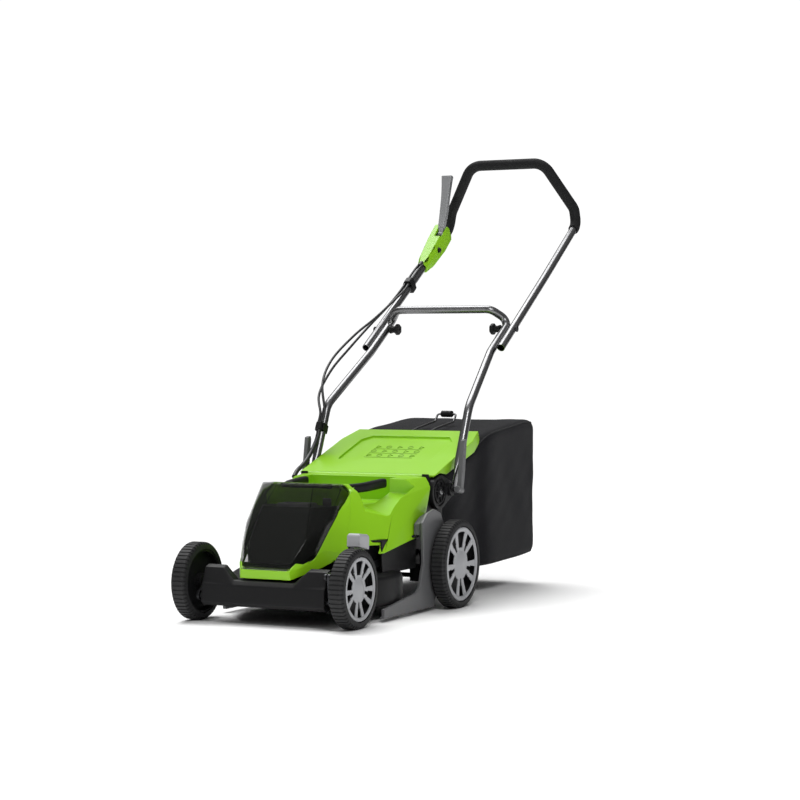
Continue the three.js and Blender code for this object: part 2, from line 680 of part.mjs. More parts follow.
const MOTOR_FOOT = ROOF_Z + ROOF_THICK + RUNNING_GAP;
place("motor_can", turned("z", chamberAt, [
  [SHAFT_RADIUS + 1.5, MOTOR_FOOT], [MOTOR_RADIUS, MOTOR_FOOT], [MOTOR_RADIUS, 150], [MOTOR_RADIUS - 6, 157],
  [0, 157], [0, 153], [MOTOR_RADIUS - 8, 153], [MOTOR_RADIUS - 4, 149], [MOTOR_RADIUS - 4, MOTOR_FOOT + 4],
  [SHAFT_RADIUS + 1.5, MOTOR_FOOT + 4], [SHAFT_RADIUS + 1.5, MOTOR_FOOT],
], 24), DARK_STEEL);
place("motor_shaft", turned("z", chamberAt, [
  [5.5, 62], [SHAFT_RADIUS, 62], [SHAFT_RADIUS, 104], [46, 104], [46, 144], [SHAFT_RADIUS, 144],
  [SHAFT_RADIUS, 148], [0, 148], [0, 82], [5.5, 82], [5.5, 62],
], 20), STEEL);
const BLADE_Z = 46;
let carrier = turned("z", chamberAt, [
  [8.4, BLADE_Z + 4.3], [36, BLADE_Z + 4.3], [36, BLADE_Z + 9], [15, BLADE_Z + 11], [14, 84], [8.4, 84],
  [8.4, BLADE_Z + 4.3],
], 20);
for (let i = 0; i < 6; i += 1) {
  const fin = new THREE.BoxGeometry(23, 2.5, 20);
  fin.translate(23.5, 0, BLADE_Z + 17);
  fin.rotateZ((Math.PI * i) / 3);
  fin.translate(...chamberAt);
  carrier = carrier.add(solid(fin));
}
place("blade_carrier", carrier, BLACK);
const bladeHalf = [
  [-BLADE_RADIUS, -16], [-BLADE_RADIUS + 8, -23], [-96, -23], [-70, -20], [0, -20], [70, -20],
  [BLADE_RADIUS - 8, -20], [BLADE_RADIUS, -12], [BLADE_RADIUS, 16], [BLADE_RADIUS - 8, 23], [96, 23],
  [70, 20], [-BLADE_RADIUS + 8, 20], [-BLADE_RADIUS, 12],
].map(([x, y]) => [x, y + CHAMBER_Y]);
const wing = (side) => hull([
  ...[96, BLADE_RADIUS - 12].flatMap((x) => [
    V(side * x, CHAMBER_Y + side * 12, BLADE_Z + 1), V(side * x, CHAMBER_Y + side * 22, BLADE_Z + 1),
    V(side * (x - 6), CHAMBER_Y + side * 19, BLADE_Z + 14), V(side * (x - 6), CHAMBER_Y + side * 22, BLADE_Z + 14),
  ]),
]);
place("blade", cut(
  join(slab("z", bladeHalf, BLADE_Z, BLADE_Z + 4), wing(1), wing(-1)),
  rod("z", chamberAt, 5.5, BLADE_Z - 5, BLADE_Z + 9),
), STEEL);
place("blade_bolt", join(
  turned("z", chamberAt, [[0, BLADE_Z - 10], [9.5, BLADE_Z - 10], [9.5, BLADE_Z - 2.5], [0, BLADE_Z - 2.5]], 6),
  rod("z", chamberAt, 15, BLADE_Z - 3, BLADE_Z - 0.3, 24),
  rod("z", chamberAt, 5.2, BLADE_Z - 4, 79, 16),
), DARK_STEEL);

// Rear flap

const FLAP_HALF = 166;
const flapEdge = (by) => [
  [-FLAP_HALF + by, 2], [FLAP_HALF - by, 2], [FLAP_HALF - by, 212 - by * 0.6],
  [152 - by * 0.6, FLAP_LENGTH - by], [-152 + by * 0.6, FLAP_LENGTH - by], [-FLAP_HALF + by, 212 - by * 0.6],
];
// Side view of the skirts that hang from the flap's edges, as (along, up).
const skirtProfile = [
  [0, 1], [0, -3], [30, -6], [62, -21], [210, -27], [262, -27], [280, -20], [280, 1],
];
const recess = [[-118, 78], [118, 78], [122, 92], [122, 216], [104, 244], [-104, 244], [-122, 216], [-122, 92]];
const recessInner = recess.map(([x, s]) => [x * 0.94, 160 + (s - 160) * 0.9]);
const HINGE_BARREL = 6;
const flap = join(
  cut(
    flapSlab(flapEdge(0), -28, 0).intersect(tiltedSlab(skirtProfile, -200, 200)),
    flapSlab(flapEdge(FLAP_THICK), -30, -FLAP_THICK),
    flapSlab([[-146, 240], [146, 240], [146, 290], [-146, 290]], -40, -13),
  ),
  flapSlab(recess, -7, -FLAP_THICK + 0.5),
  rod("x", [0, FLAP_Y, FLAP_Z - 4], HINGE_BARREL, -139, 139, 14),
  rod("x", [0, FLAP_Y, FLAP_Z - 4], 3, -150, 150, 12),
  flapSlab([[-139, -1], [139, -1], [139, 6], [-139, 6]], -6, -0.2),
);
place("rear_flap", cut(flap, flapSlab(recessInner, -5, 1)), LIME);

// Handle brackets on the towers, with their bolts and clamp levers. A closed lever lies
// along the tube: (along, up) is its direction in the YZ plane.

const CAM = { x: 191, radius: 7.5, along: 0.149, up: 0.989 };

for (const [side, tag] of [[-1, "left"], [1, "right"]]) {
  const boss = capsule([BOSS_Y, BOSS_Z], 38, [PIVOT_Y, PIVOT_Z], 20, 16);
  place(`handle_bracket_${tag}`, cut(
    join(sideSlab(side, boss, 157.3, 168), sideRod(side, PIVOT_Y, PIVOT_Z, 14, 160, 175.2, 20)),
    sideRod(side, BOSS_Y, BOSS_Z, 30, 165, 180, 28),
    sideRod(side, PIVOT_Y, PIVOT_Z, BOLT_RADIUS + RUNNING_GAP, 150, 190, 16),
    tiltedSlab([[-60, 60], [-60, -9], [26, -9], [60, -25], [120, -31], [120, 60]], -200, 200),
  ), BLACK);
  place(`pivot_bolt_${tag}`, join(
    sideRod(side, PIVOT_Y, PIVOT_Z, BOLT_RADIUS, 149, 182, 16),
    sideRod(side, PIVOT_Y, PIVOT_Z, 8, 149, 156.8, 6),
  ), STEEL);
  const hub = sweep(round(CAM.radius, 14), new BentLine([
    V(side * CAM.x, PIVOT_Y - 13 * CAM.up, PIVOT_Z + 13 * CAM.along),
    V(side * CAM.x, PIVOT_Y + 13 * CAM.up, PIVOT_Z - 13 * CAM.along),
  ], 1));
  const arm = hull([
    [-7, 4], [7, 4], [-8, 30], [9, 30], [-7, 108], [5, 112], [8, 104],
  ].flatMap(([w, s]) => {
    const y = PIVOT_Y + s * CAM.along + w * CAM.up;
    const z = PIVOT_Z + s * CAM.up - w * CAM.along;
    return [V(side * (CAM.x - 2), y, z), V(side * (CAM.x + 8), y, z)];
  }));
  place(`cam_lever_${tag}`, join(hub, arm), CHARCOAL);
}

// Lower handle: one bent tube, its feet flattened at the pivots

const lowerCorners = [
  V(LOWER_FOOT_X, PIVOT_Y + 18, PIVOT_Z + 40), V(LOWER_FOOT_X, 142, 430), V(LOWER_TOP_X, 312, 550),
  V(LOWER_TOP_X, 421, 621.6), V(122, 386, 650),
];
const LOWER_BENDS = [60, 120, 20, 26, 26, 20, 120, 60];
const lowerLine = new BentLine(
  [...lowerCorners, ...lowerCorners.map((p) => V(-p.x, p.y, p.z)).reverse()],
  LOWER_BENDS, 3,
);
const footStrip = (side) => join(
  sideSlab(side, capsule([PIVOT_Y, PIVOT_Z], 11, [PIVOT_Y + 17, PIVOT_Z + 38], 11), 175.5, 180.5),
  hull([
    ...[-11, 11].flatMap((w) => [175.5, 180.5].map((x) => (
      V(side * x, PIVOT_Y + 15 + w * 0.91, PIVOT_Z + 34 - w * 0.4)
    ))),
    ...round(TUBE_RADIUS, 12).map(([a, b]) => V(
      side * (LOWER_FOOT_X + a), PIVOT_Y + 24 + b * 0.91, PIVOT_Z + 54 - b * 0.4,
    )),
  ]),
);
const clampHole = rod("x", [0, CLAMP_Y, CLAMP_Z], BOLT_RADIUS + RUNNING_GAP, -220, 220, 16);
const pivotHole = rod("x", [0, PIVOT_Y, PIVOT_Z], BOLT_RADIUS + RUNNING_GAP, -220, 220, 16);
place("lower_tube", cut(
  join(sweep(round(TUBE_RADIUS, 12), lowerLine), footStrip(1), footStrip(-1)),
  sweep(round(TUBE_BORE, 8), new BentLine(
    [lowerCorners[0].clone().lerp(lowerCorners[1], 0.2), ...lowerCorners.slice(1),
      ...lowerCorners.slice(1).map((p) => V(-p.x, p.y, p.z)).reverse(),
      lowerCorners[0].clone().lerp(lowerCorners[1], 0.2).multiply(V(-1, 1, 1))],
    LOWER_BENDS, 3,
  )),
  clampHole,
  pivotHole,
), STEEL);

// Upper handle: inverted U outside the lower legs

const upperCorners = [
  V(UPPER_X, 326, 560), V(UPPER_X, 594, 734), V(UPPER_X, 790, 866), V(168, 792, 906),
  V(98, HANDLE_TOP_Y, HANDLE_TOP_Z),
];
const UPPER_BENDS = [600, 36, 34, 46, 46, 34, 36, 600];
const upperLine = new BentLine(
  [...upperCorners, ...upperCorners.map((p) => V(-p.x, p.y, p.z)).reverse()],
  UPPER_BENDS, 3,
);
place("upper_tube", cut(
  sweep(round(TUBE_RADIUS, 12), upperLine),
  sweep(round(TUBE_BORE, 8), new BentLine(
    [V(UPPER_X, 324.3, 558.9), ...upperCorners.slice(1),
      ...upperCorners.slice(1).map((p) => V(-p.x, p.y, p.z)).reverse(), V(-UPPER_X, 324.3, 558.9)],
    UPPER_BENDS, 3,
  )),
  clampHole,
), STEEL);
const gripCorners = [
  upperCorners[2].clone().lerp(upperCorners[1], 0.1), ...upperCorners.slice(2),
  ...upperCorners.slice(2).map((p) => V(-p.x, p.y, p.z)).reverse(),
  upperCorners[2].clone().lerp(upperCorners[1], 0.1).multiply(V(-1, 1, 1)),
];
const gripLine = new BentLine(gripCorners, [36, 34, 46, 46, 34, 36], 4);
place("grip_foam", cut(
  sweep(round(GRIP_RADIUS, 12), gripLine),
  sweep(round(TUBE_RADIUS + RUNNING_GAP, 12), upperLine),
), FOAM);

const KNOB_SEAT_X = LOWER_TOP_X - TUBE_RADIUS - 0.8;
for (const [side, tag] of [[-1, "left"], [1, "right"]]) {
  place(`clamp_bolt_${tag}`, join(
    sideRod(side, CLAMP_Y, CLAMP_Z, BOLT_RADIUS, KNOB_SEAT_X - 15.7, UPPER_X + TUBE_RADIUS + 1, 16),
    sideRod(side, CLAMP_Y, CLAMP_Z, 7.5, UPPER_X + TUBE_RADIUS + 0.3, UPPER_X + TUBE_RADIUS + 3.5, 16),
  ), DARK_STEEL);
  const knobAt = [0, CLAMP_Y, CLAMP_Z];
  const lobes = [
    [BOLT_RADIUS + RUNNING_GAP, 24.7], [12, 24.7], [13.5, 21.7], [13.5, 15.7], [8, 11.7], [8, 5.7], [10, 0],
    [BOLT_RADIUS + RUNNING_GAP, 0], [BOLT_RADIUS + RUNNING_GAP, 24.7],
  ].map(([r, inward]) => [r, side * (KNOB_SEAT_X - inward)]);
  place(`clamp_knob_${tag}`, turned("x", knobAt, lobes, 14), BLACK);
}

// Switch box, bail lever and lock button on the left upper tube

const tubeStart = V(0, 632, 758.5);
const tubeWay = V(0, 0.829, 0.559);
const tubeNormal = V(0, -0.559, 0.829);
function onTube(x, along, out) {
  return tubeStart.clone().addScaledVector(tubeWay, along).addScaledVector(tubeNormal, out).setX(x);
}
const boxSections = [
  [0, 13, -12.5, 14], [30, 19, -15, 20], [100, 22, -15.5, 30], [150, 20, -13, 38], [166, 14, -11, 24],
];
const boxHull = join(...boxSections.slice(1).map((next, i) => hull(
  [boxSections[i], next].flatMap(([s, half, low, high]) => [
    onTube(-UPPER_X - half, s, low + 5), onTube(-UPPER_X + half, s, low + 5),
    onTube(-UPPER_X - half + 6, s, low), onTube(-UPPER_X + half - 6, s, low),
    onTube(-UPPER_X - half, s, high - 10), onTube(-UPPER_X + half, s, high - 10),
    onTube(-UPPER_X - half + 7, s, high), onTube(-UPPER_X + half - 7, s, high),
  ]),
)));
const boxInside = join(...[[8, 60], [58, 118], [114, 150]].map(([a, b], i) => hull(
  [a, b].flatMap((s) => [-1, 1].flatMap((e) => [
    onTube(-UPPER_X + e * [12, 17, 15][i], s, 13 + i),
    onTube(-UPPER_X + e * [10, 14, 12][i], s, [15.5, 24, 27][i]),
  ])),
)));
const tubeRoom = sweep(round(TUBE_RADIUS + RUNNING_GAP, 12), upperLine);
const BAIL = { x: -166, along: 128, out: 22 };
const bailPivot = onTube(BAIL.x, BAIL.along, BAIL.out);
const bailSlot = hull([
  onTube(BAIL.x - 8.5, 108, 14), onTube(BAIL.x + 8.5, 108, 14), onTube(BAIL.x - 8.5, 150, 14),
  onTube(BAIL.x + 8.5, 150, 14), onTube(BAIL.x - 8.5, 104, 60), onTube(BAIL.x + 8.5, 104, 60),
  onTube(BAIL.x - 8.5, 190, 60), onTube(BAIL.x + 8.5, 190, 60), onTube(BAIL.x - 8.5, 190, 22),
  onTube(BAIL.x + 8.5, 190, 22),
]);
const BUTTON = onTube(0, 70, 10);
const buttonHole = rod("x", [0, BUTTON.y, BUTTON.z], 6.3, -UPPER_X + 8.2, -UPPER_X + 30, 16);
const bailHole = rod("x", [0, bailPivot.y, bailPivot.z], 2.8, -UPPER_X - 16, -UPPER_X + 18, 12);
place("switch_box", cut(boxHull, boxInside, tubeRoom, bailSlot, buttonHole, bailHole), LIME);
place("lock_button", turned("x", [0, BUTTON.y, BUTTON.z], [
  [0, -UPPER_X + 13], [6, -UPPER_X + 13], [6, -UPPER_X + 25], [5, -UPPER_X + 26], [0, -UPPER_X + 26],
], 16), BLACK);
// The lever is a channel: each section is [half width, y, z] of its front edge.
const BAIL_DEPTH = 12;
const BAIL_WALL = 2;
const bailSections = [[7, 722, 868], [7, 735, 905], [8, 746, 950], [13, 756, 1000]];
const bailGroove = [[7, 726, 879], [7, 735, 905], [8, 746, 950], [13, 757.2, 1006]];
const bailPlate = (sections, inset, front, back) => join(...sections.slice(1).map((next, i) => hull(
  [sections[i], next].flatMap(([half, y, z]) => [-1, 1].flatMap((e) => [
    V(BAIL.x + e * (half - inset), y + front, z - front * 0.35),
    V(BAIL.x + e * (half - inset), y + back, z - back * 0.33),
  ])),
)));
const BAIL_FOOT_HALF = 6.5;
const bailFoot = hull([-BAIL_FOOT_HALF, BAIL_FOOT_HALF].flatMap((dx) => [
  ...round(7, 10).map(([a, b]) => V(BAIL.x + dx, bailPivot.y + a, bailPivot.z + b)),
  V(BAIL.x + dx, 724, 873.5),
  V(BAIL.x + dx, 735.5, 869),
]));
place("bail_lever", join(
  cut(bailPlate(bailSections, 0, 0, BAIL_DEPTH), bailPlate(bailGroove, BAIL_WALL, 2.5, BAIL_DEPTH + 4)),
  bailFoot,
  rod("x", [0, bailPivot.y, bailPivot.z], 2.5, BAIL.x - 15, BAIL.x + 9, 12),
), { color: 0x8d9196, roughness: 0.4, metalness: 0.6 });

// Bag: fabric sack, mouth frame and carrying wire

const bagRing = (y, half, low, high, corner) => {
  const points = [];
  const centres = [[half - corner, high - corner], [-half + corner, high - corner],
    [-half + corner, low + corner], [half - corner, low + corner]];
  centres.forEach(([cx, cz], i) => {
    for (let k = 0; k <= 2; k += 1) {
      const angle = (Math.PI / 2) * (i + k / 2);
      points.push(V(cx + corner * Math.cos(angle), y, cz + corner * Math.sin(angle)));
    }
  });
  return points;
};
function lofted(rings) {
  const n = rings[0].length;
  const positions = rings.flat().flatMap((p) => [p.x, p.y, p.z]);
  const index = [];
  for (let r = 0; r < rings.length - 1; r += 1) {
    for (let i = 0; i < n; i += 1) {
      const a = r * n + i;
      const b = r * n + ((i + 1) % n);
      index.push(a, a + n, b, b, a + n, b + n);
    }
  }
  const end = (rings.length - 1) * n;
  for (let i = 1; i < n - 1; i += 1) {
    index.push(0, i, i + 1);
    index.push(end, end + i + 1, end + i);
  }
  const geometry = new THREE.BufferGeometry();
  geometry.setAttribute("position", new THREE.Float32BufferAttribute(positions, 3));
  geometry.setIndex(index);
  const body = solid(geometry);
  return body.volume() < 0 ? solid(flipped(geometry)) : body;
}
const bagStations = [
  [74, 122, 100, 262, 12], [96, 132, 84, 284, 14], [150, 146, 68, 300, 18], [250, 148, 62, 338, 20],
  [285, BAG_HALF, 62, 365, 20], [400, BAG_HALF + 1, 64, 380, 20], [520, BAG_HALF, 68, 390, 20],
  [546, BAG_HALF - 2, 72, 386, 20],
];
const bagSkin = (by) => bagStations.map(([y, half, low, high, corner], i) => (
  bagRing(i === 0 ? y - by * 3 : y, half - by, low + by, high - by, corner)
));
const bagTail = (by) => bagRing(BAG_REAR_Y - 1 - by, BAG_HALF - 22 - by, 92 + by, 366 - by, 16);
place("bag_fabric", cut(
  lofted([...bagSkin(0), bagTail(0)]),
  lofted([...bagSkin(CLOTH), bagTail(CLOTH)]),
), FABRIC);
const frameOuter = bagRing(0, 124, 98, 258, 14).map((p) => [p.z, p.x]);
const frameInner = bagRing(0, 112, 110, 246, 8).map((p) => [p.z, p.x]);
const hooks = [-1, 1].map((side) => hull([
  V(side * 100, 56, 246), V(side * 122, 56, 246), V(side * 100, 56, 254), V(side * 122, 56, 254),
  V(side * 100, 72, 246), V(side * 122, 72, 246), V(side * 100, 72, 258), V(side * 122, 72, 258),
]));
place("bag_frame", cut(
  join(slab("y", frameOuter, 60, 73.6), ...hooks),
  slab("y", frameInner, 50, 80),
), BLACK);

const WIRE_X = 24;
const wireCorners = [
  V(-WIRE_X, 258, 366), V(-WIRE_X, 296, 374), V(-WIRE_X, 392, 387), V(-WIRE_X, 407, 404),
  V(WIRE_X, 407, 404), V(WIRE_X, 392, 387), V(WIRE_X, 296, 374), V(WIRE_X, 258, 366),
];
place("bag_wire", sweep(round(2.5, 6), new BentLine(wireCorners, [40, 14, 6, 6, 14, 40], 4)), STEEL);
place("bag_grip", cut(
  rod("x", [0, 407, 404], 8, -15, 15, 16),
  rod("x", [0, 407, 404], 2.8, -20, 20, 12),
), BLACK);

// Cables and their clips

const CABLE_RADIUS = 3;
const clipUpperAt = onTube(0, -85, 0);
const lowerWay = V(0, 0.406, 0.914);
const clipLowerAt = V(0, 118, 376);
function clip(at, way, normal, x, inner = 13) {
  const body = [];
  const section = [
    [-13, -8], [-13, 12], [-6, 22], [inner - 5, 22], [inner, 12], [inner, -8], [inner - 3, -13], [-8, -13],
  ];
  for (const s of [-9, 9]) {
    for (const [dx, out] of section) {
      body.push(at.clone().addScaledVector(way, s).addScaledVector(normal, out).setX(x + dx));
    }
  }
  return hull(body);
}
function across(at, way, radius, x, normal, out) {
  const middle = at.clone().addScaledVector(normal, out).setX(x);
  return sweep(round(radius, 12), new BentLine(
    [middle.clone().addScaledVector(way, -20), middle.clone().addScaledVector(way, 20)], 1,
  ));
}
const lowerNormal = V(0, -0.914, 0.406);
place("cable_clip_upper", cut(
  clip(clipUpperAt, tubeWay, tubeNormal, -UPPER_X),
  tubeRoom,
  across(clipUpperAt, tubeWay, CABLE_RADIUS + RUNNING_GAP, -UPPER_X - 5, tubeNormal, 15),
  across(clipUpperAt, tubeWay, CABLE_RADIUS + RUNNING_GAP, -UPPER_X + 5, tubeNormal, 15),
), BLACK);
place("cable_clip_lower", cut(
  clip(clipLowerAt, lowerWay, lowerNormal, -LOWER_FOOT_X, 9.8),
  sweep(round(TUBE_RADIUS + RUNNING_GAP, 12), lowerLine),
  across(clipLowerAt, lowerWay, CABLE_RADIUS + RUNNING_GAP, -LOWER_FOOT_X - 5, lowerNormal, 15),
  across(clipLowerAt, lowerWay, CABLE_RADIUS + RUNNING_GAP, -LOWER_FOOT_X + 5, lowerNormal, 15),
), BLACK);

const upperClipEnd = (x, along) => onTube(-UPPER_X + x, -85 + along, 15);
const lowerClipEnd = (x, along) => clipLowerAt.clone().addScaledVector(lowerWay, along)
  .addScaledVector(lowerNormal, 15).setX(-LOWER_FOOT_X + x);
function cable(points, steps, radius = CABLE_RADIUS) {
  const line = new THREE.CatmullRomCurve3(points, false, "centripetal");
  const shape = outline(round(radius, 8));
  return solid(new THREE.ExtrudeGeometry(shape, { extrudePath: line, steps, bevelEnabled: false }));
}
for (const [x, tag] of [[-5, "outer"], [5, "inner"]]) {
  place(`cable_${tag}_upper`, cable([
    onTube(-UPPER_X + x, -1, 12.5), onTube(-UPPER_X + x, -30, 15), upperClipEnd(x, 10.5),
  ], 8), RUBBER);
}
place("cable_outer_middle", cable([
  upperClipEnd(-5, -10), upperClipEnd(-5, -40), V(-186, 470, 664), V(-196, 384, 612), V(-204, 300, 560),
  V(-210, 215, 505), V(-205, 150, 450), lowerClipEnd(-5, 30), lowerClipEnd(-5, 10),
], 26), RUBBER);
place("cable_inner_middle", cable([
  upperClipEnd(5, -10), upperClipEnd(5, -40), V(-170, 485, 684), V(-182, 395, 634), V(-202, 320, 590),
  V(-216, 230, 530), V(-200, 158, 476), lowerClipEnd(5, 34), lowerClipEnd(5, 10),
], 26), RUBBER);
place("cable_sleeve_lower", cable([
  lowerClipEnd(0, -9.5), lowerClipEnd(0, -30), V(-178, 62, 322), V(-176, 24, 299), V(-174, -8, 286),
  V(-168, -34, 274),
], 12, 5), RUBBER);

// The finished group is centred along Y on its own box

group.updateMatrixWorld(true);
const extent = new THREE.Box3().setFromObject(group);
const middleY = (extent.min.y + extent.max.y) / 2;
for (const mesh of group.children) {
  mesh.geometry.translate(0, -middleY, 0);
}

export default group;
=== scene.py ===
"""Finish of a folding push mower: mouldings, tyres, handle tubes, grass bag, cables and its plain studio."""

import math

import bpy
from bpy.props import FloatProperty, FloatVectorProperty, IntProperty, PointerProperty
from mathutils import Matrix, Vector


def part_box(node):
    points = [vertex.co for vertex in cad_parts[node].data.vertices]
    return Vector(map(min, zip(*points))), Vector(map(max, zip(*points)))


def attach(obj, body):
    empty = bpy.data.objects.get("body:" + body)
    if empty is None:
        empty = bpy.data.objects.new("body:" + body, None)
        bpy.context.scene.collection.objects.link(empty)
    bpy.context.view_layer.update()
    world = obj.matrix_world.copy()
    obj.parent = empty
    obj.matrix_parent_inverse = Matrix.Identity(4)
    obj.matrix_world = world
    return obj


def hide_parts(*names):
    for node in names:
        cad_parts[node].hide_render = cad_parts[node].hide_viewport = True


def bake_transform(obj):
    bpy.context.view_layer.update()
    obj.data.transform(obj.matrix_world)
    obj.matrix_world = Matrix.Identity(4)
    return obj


bl_info = {
    "name": "Push Mower Finish",
    "version": (1, 0, 0),
    "blender": (4, 5, 0),
    "location": "3D View > Sidebar > Mower",
    "description": "Builds the finished pieces of a folding push mower on its frame",
    "category": "Object",
}

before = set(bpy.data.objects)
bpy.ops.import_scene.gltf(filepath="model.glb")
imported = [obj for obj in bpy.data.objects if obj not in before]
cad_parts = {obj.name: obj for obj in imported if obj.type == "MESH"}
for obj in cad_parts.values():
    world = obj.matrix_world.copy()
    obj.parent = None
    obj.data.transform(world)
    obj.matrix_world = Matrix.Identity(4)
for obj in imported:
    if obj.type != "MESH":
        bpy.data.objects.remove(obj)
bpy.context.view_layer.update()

# Sizes below are metres. Lengthways they are measured from the rear wheels' centre line.
REAR_LOW, REAR_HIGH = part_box("tyre_rear_left")
FRONT_LOW, FRONT_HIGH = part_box("tyre_front_left")
REAR_LINE = (REAR_LOW[1] + REAR_HIGH[1]) / 2
FRONT_LINE = (FRONT_LOW[1] + FRONT_HIGH[1]) / 2
REAR_TYRE = REAR_HIGH[2] / 2
FRONT_TYRE = FRONT_HIGH[2] / 2
TYRE_WIDTH = REAR_HIGH[0] - REAR_LOW[0]
UPPER_X = 0.174
LOWER_TOP_X = 0.154
LOWER_FOOT_X = 0.178


def at(x, y, z):
    """A point in the frame from one that is measured lengthways from the rear wheels."""
    return Vector((x, y + REAR_LINE, z))


PIVOT = at(0, 0.062, 0.250)
CLAMP = at(0, 0.394, 0.604)
TUBE_START = at(0, 0.632, 0.7585)
TUBE_WAY = Vector((0, 0.829, 0.559))
TUBE_NORMAL = Vector((0, -0.559, 0.829))
LOWER_CLIP = at(0, 0.118, 0.376)
LOWER_WAY = Vector((0, 0.406, 0.914))
LOWER_NORMAL = Vector((0, -0.914, 0.406))


def on_tube(x, along, out):
    """A point beside the upper handle tube."""
    point = TUBE_START + TUBE_WAY * along + TUBE_NORMAL * out
    return Vector((x, point.y, point.z))


# ---------------------------------------------------------------- settings


class MowerColours(bpy.types.PropertyGroup):
    """Colours of the mower's finishes"""

    lime: FloatVectorProperty(
        name="Lime", description="Colour of the cowl, flap and switch box", default=(0.265, 0.58, 0.012),
        subtype="COLOR", size=3, min=0, max=1,
    )
    black: FloatVectorProperty(
        name="Black", description="Colour of the deck and the small black mouldings",
        default=(0.0085, 0.0085, 0.0092),
        subtype="COLOR", size=3, min=0, max=1,
    )
    charcoal: FloatVectorProperty(
        name="Charcoal", description="Colour of the side skirts and clamp levers",
        default=(0.105, 0.106, 0.110),
        subtype="COLOR", size=3, min=0, max=1,
    )
    grey: FloatVectorProperty(
        name="Grey", description="Colour of the hub caps and the height knob", default=(0.33, 0.335, 0.35),
        subtype="COLOR", size=3, min=0, max=1,
    )
    tyre: FloatVectorProperty(
        name="Tyre", description="Colour of the tyres", default=(0.014, 0.014, 0.015),
        subtype="COLOR", size=3, min=0, max=1,
    )
    cloth: FloatVectorProperty(
        name="Cloth", description="Colour of the grass bag", default=(0.0105, 0.0105, 0.0125),
        subtype="COLOR", size=3, min=0, max=1,
    )
    foam: FloatVectorProperty(
        name="Foam", description="Colour of the foam grip", default=(0.0075, 0.0075, 0.0082),
        subtype="COLOR", size=3, min=0, max=1,
    )
    smoke: FloatVectorProperty(
        name="Smoke", description="Tint of the battery hood", default=(0.004, 0.005, 0.0035),
        subtype="COLOR", size=3, min=0, max=1,
    )
    steel: FloatVectorProperty(
        name="Steel", description="Colour of the plated steel", default=(0.22, 0.22, 0.225),
        subtype="COLOR", size=3, min=0, max=1,
    )


class MowerSizes(bpy.types.PropertyGroup):
    """Sizes of the mower's finer shapes"""

    edge: FloatProperty(
        name="Edge Rounding", description="Rounding of the large mouldings' edges", default=0.0016,
        min=0.0002, max=0.004, unit="LENGTH",
    )
    tube: FloatProperty(
        name="Tube Radius", description="Outer radius of the handle tubes", default=0.0095,
        min=0.008, max=0.012, unit="LENGTH",
    )
    grip: FloatProperty(
        name="Grip Radius", description="Outer radius of the foam grip", default=0.013,
        min=0.011, max=0.018, unit="LENGTH",
    )
    cable: FloatProperty(
        name="Cable Radius", description="Radius of a control cable", default=0.003,
        min=0.002, max=0.004, unit="LENGTH",
    )
    sleeve: FloatProperty(
        name="Sleeve Radius", description="Radius of the sleeve round both cables", default=0.005,
        min=0.004, max=0.007, unit="LENGTH",
    )
    groove: FloatProperty(
        name="Tread Groove", description="Depth of a tyre's cross grooves", default=0.0014,
        min=0.0005, max=0.003, unit="LENGTH",
    )
    front_ribs: IntProperty(
        name="Front Ribs", description="Cross ribs round a front tyre", default=54, min=30, max=80,
    )
    rear_ribs: IntProperty(
        name="Rear Ribs", description="Cross ribs round a rear tyre", default=64, min=30, max=90,
    )
    cloth: FloatProperty(
        name="Cloth Thickness", description="Thickness of the bag's cloth", default=0.0014,
        min=0.0006, max=0.003, unit="LENGTH",
    )
    piping: FloatProperty(
        name="Piping Radius", description="Radius of the sewn piping on the bag's edges", default=0.0019,
        min=0.001, max=0.004, unit="LENGTH",
    )


def colours():
    """The colours chosen in the panel."""
    return bpy.context.scene.mower_colours


def sizes():
    """The sizes chosen in the panel."""
    return bpy.context.scene.mower_sizes


# ---------------------------------------------------------------- modelling by operators


def choose(obj):
    """Leaves obj as the only selected object, and active."""
    if bpy.context.object is not None and bpy.context.object.mode != "OBJECT":
        bpy.ops.object.mode_set(mode="OBJECT")
    bpy.ops.object.select_all(action="DESELECT")
    if obj is not None:
        obj.select_set(True)
        bpy.context.view_layer.objects.active = obj


def named(name):
    """The object just added, with its name."""
    obj = bpy.context.object
    obj.name = name
    obj.data.name = name
    return obj


def edit(obj, everything=True):
    """Edit mode on obj, with all of it selected or none of it."""
    choose(obj)
    bpy.ops.object.mode_set(mode="EDIT")
    bpy.ops.mesh.select_mode(type="FACE")
    bpy.ops.mesh.select_all(action="SELECT" if everything else "DESELECT")


def leave():
    """Back to object mode."""
    bpy.ops.object.mode_set(mode="OBJECT")


def pick_faces(obj, test):
    """Selects the faces whose centre and normal pass the test, and leaves edit mode on."""
    edit(obj, everything=False)
    leave()
    for face in obj.data.polygons:
        face.select = bool(test(face.center, face.normal))
    bpy.ops.object.mode_set(mode="EDIT")


def closed(obj):
    """Merges the loose seams and turns the faces outwards."""
    edit(obj)
    bpy.ops.mesh.remove_doubles(threshold=0.000004)
    bpy.ops.mesh.normals_make_consistent(inside=False)
    leave()


def modified(obj, kind, **values):
    """Adds one modifier with those values and applies it."""
    choose(obj)
    bpy.ops.object.modifier_add(type=kind)
    modifier = obj.modifiers[-1]
    for key, value in values.items():
        setattr(modifier, key, value)
    bpy.ops.object.modifier_apply(modifier=modifier.name)
    return obj


def rounded(obj, width, segments=2, angle=30):
    """Rounds obj's sharp edges."""
    return modified(
        obj, "BEVEL", width=width, segments=segments, limit_method="ANGLE", angle_limit=math.radians(angle),
        use_clamp_overlap=False, miter_outer="MITER_ARC",
    )


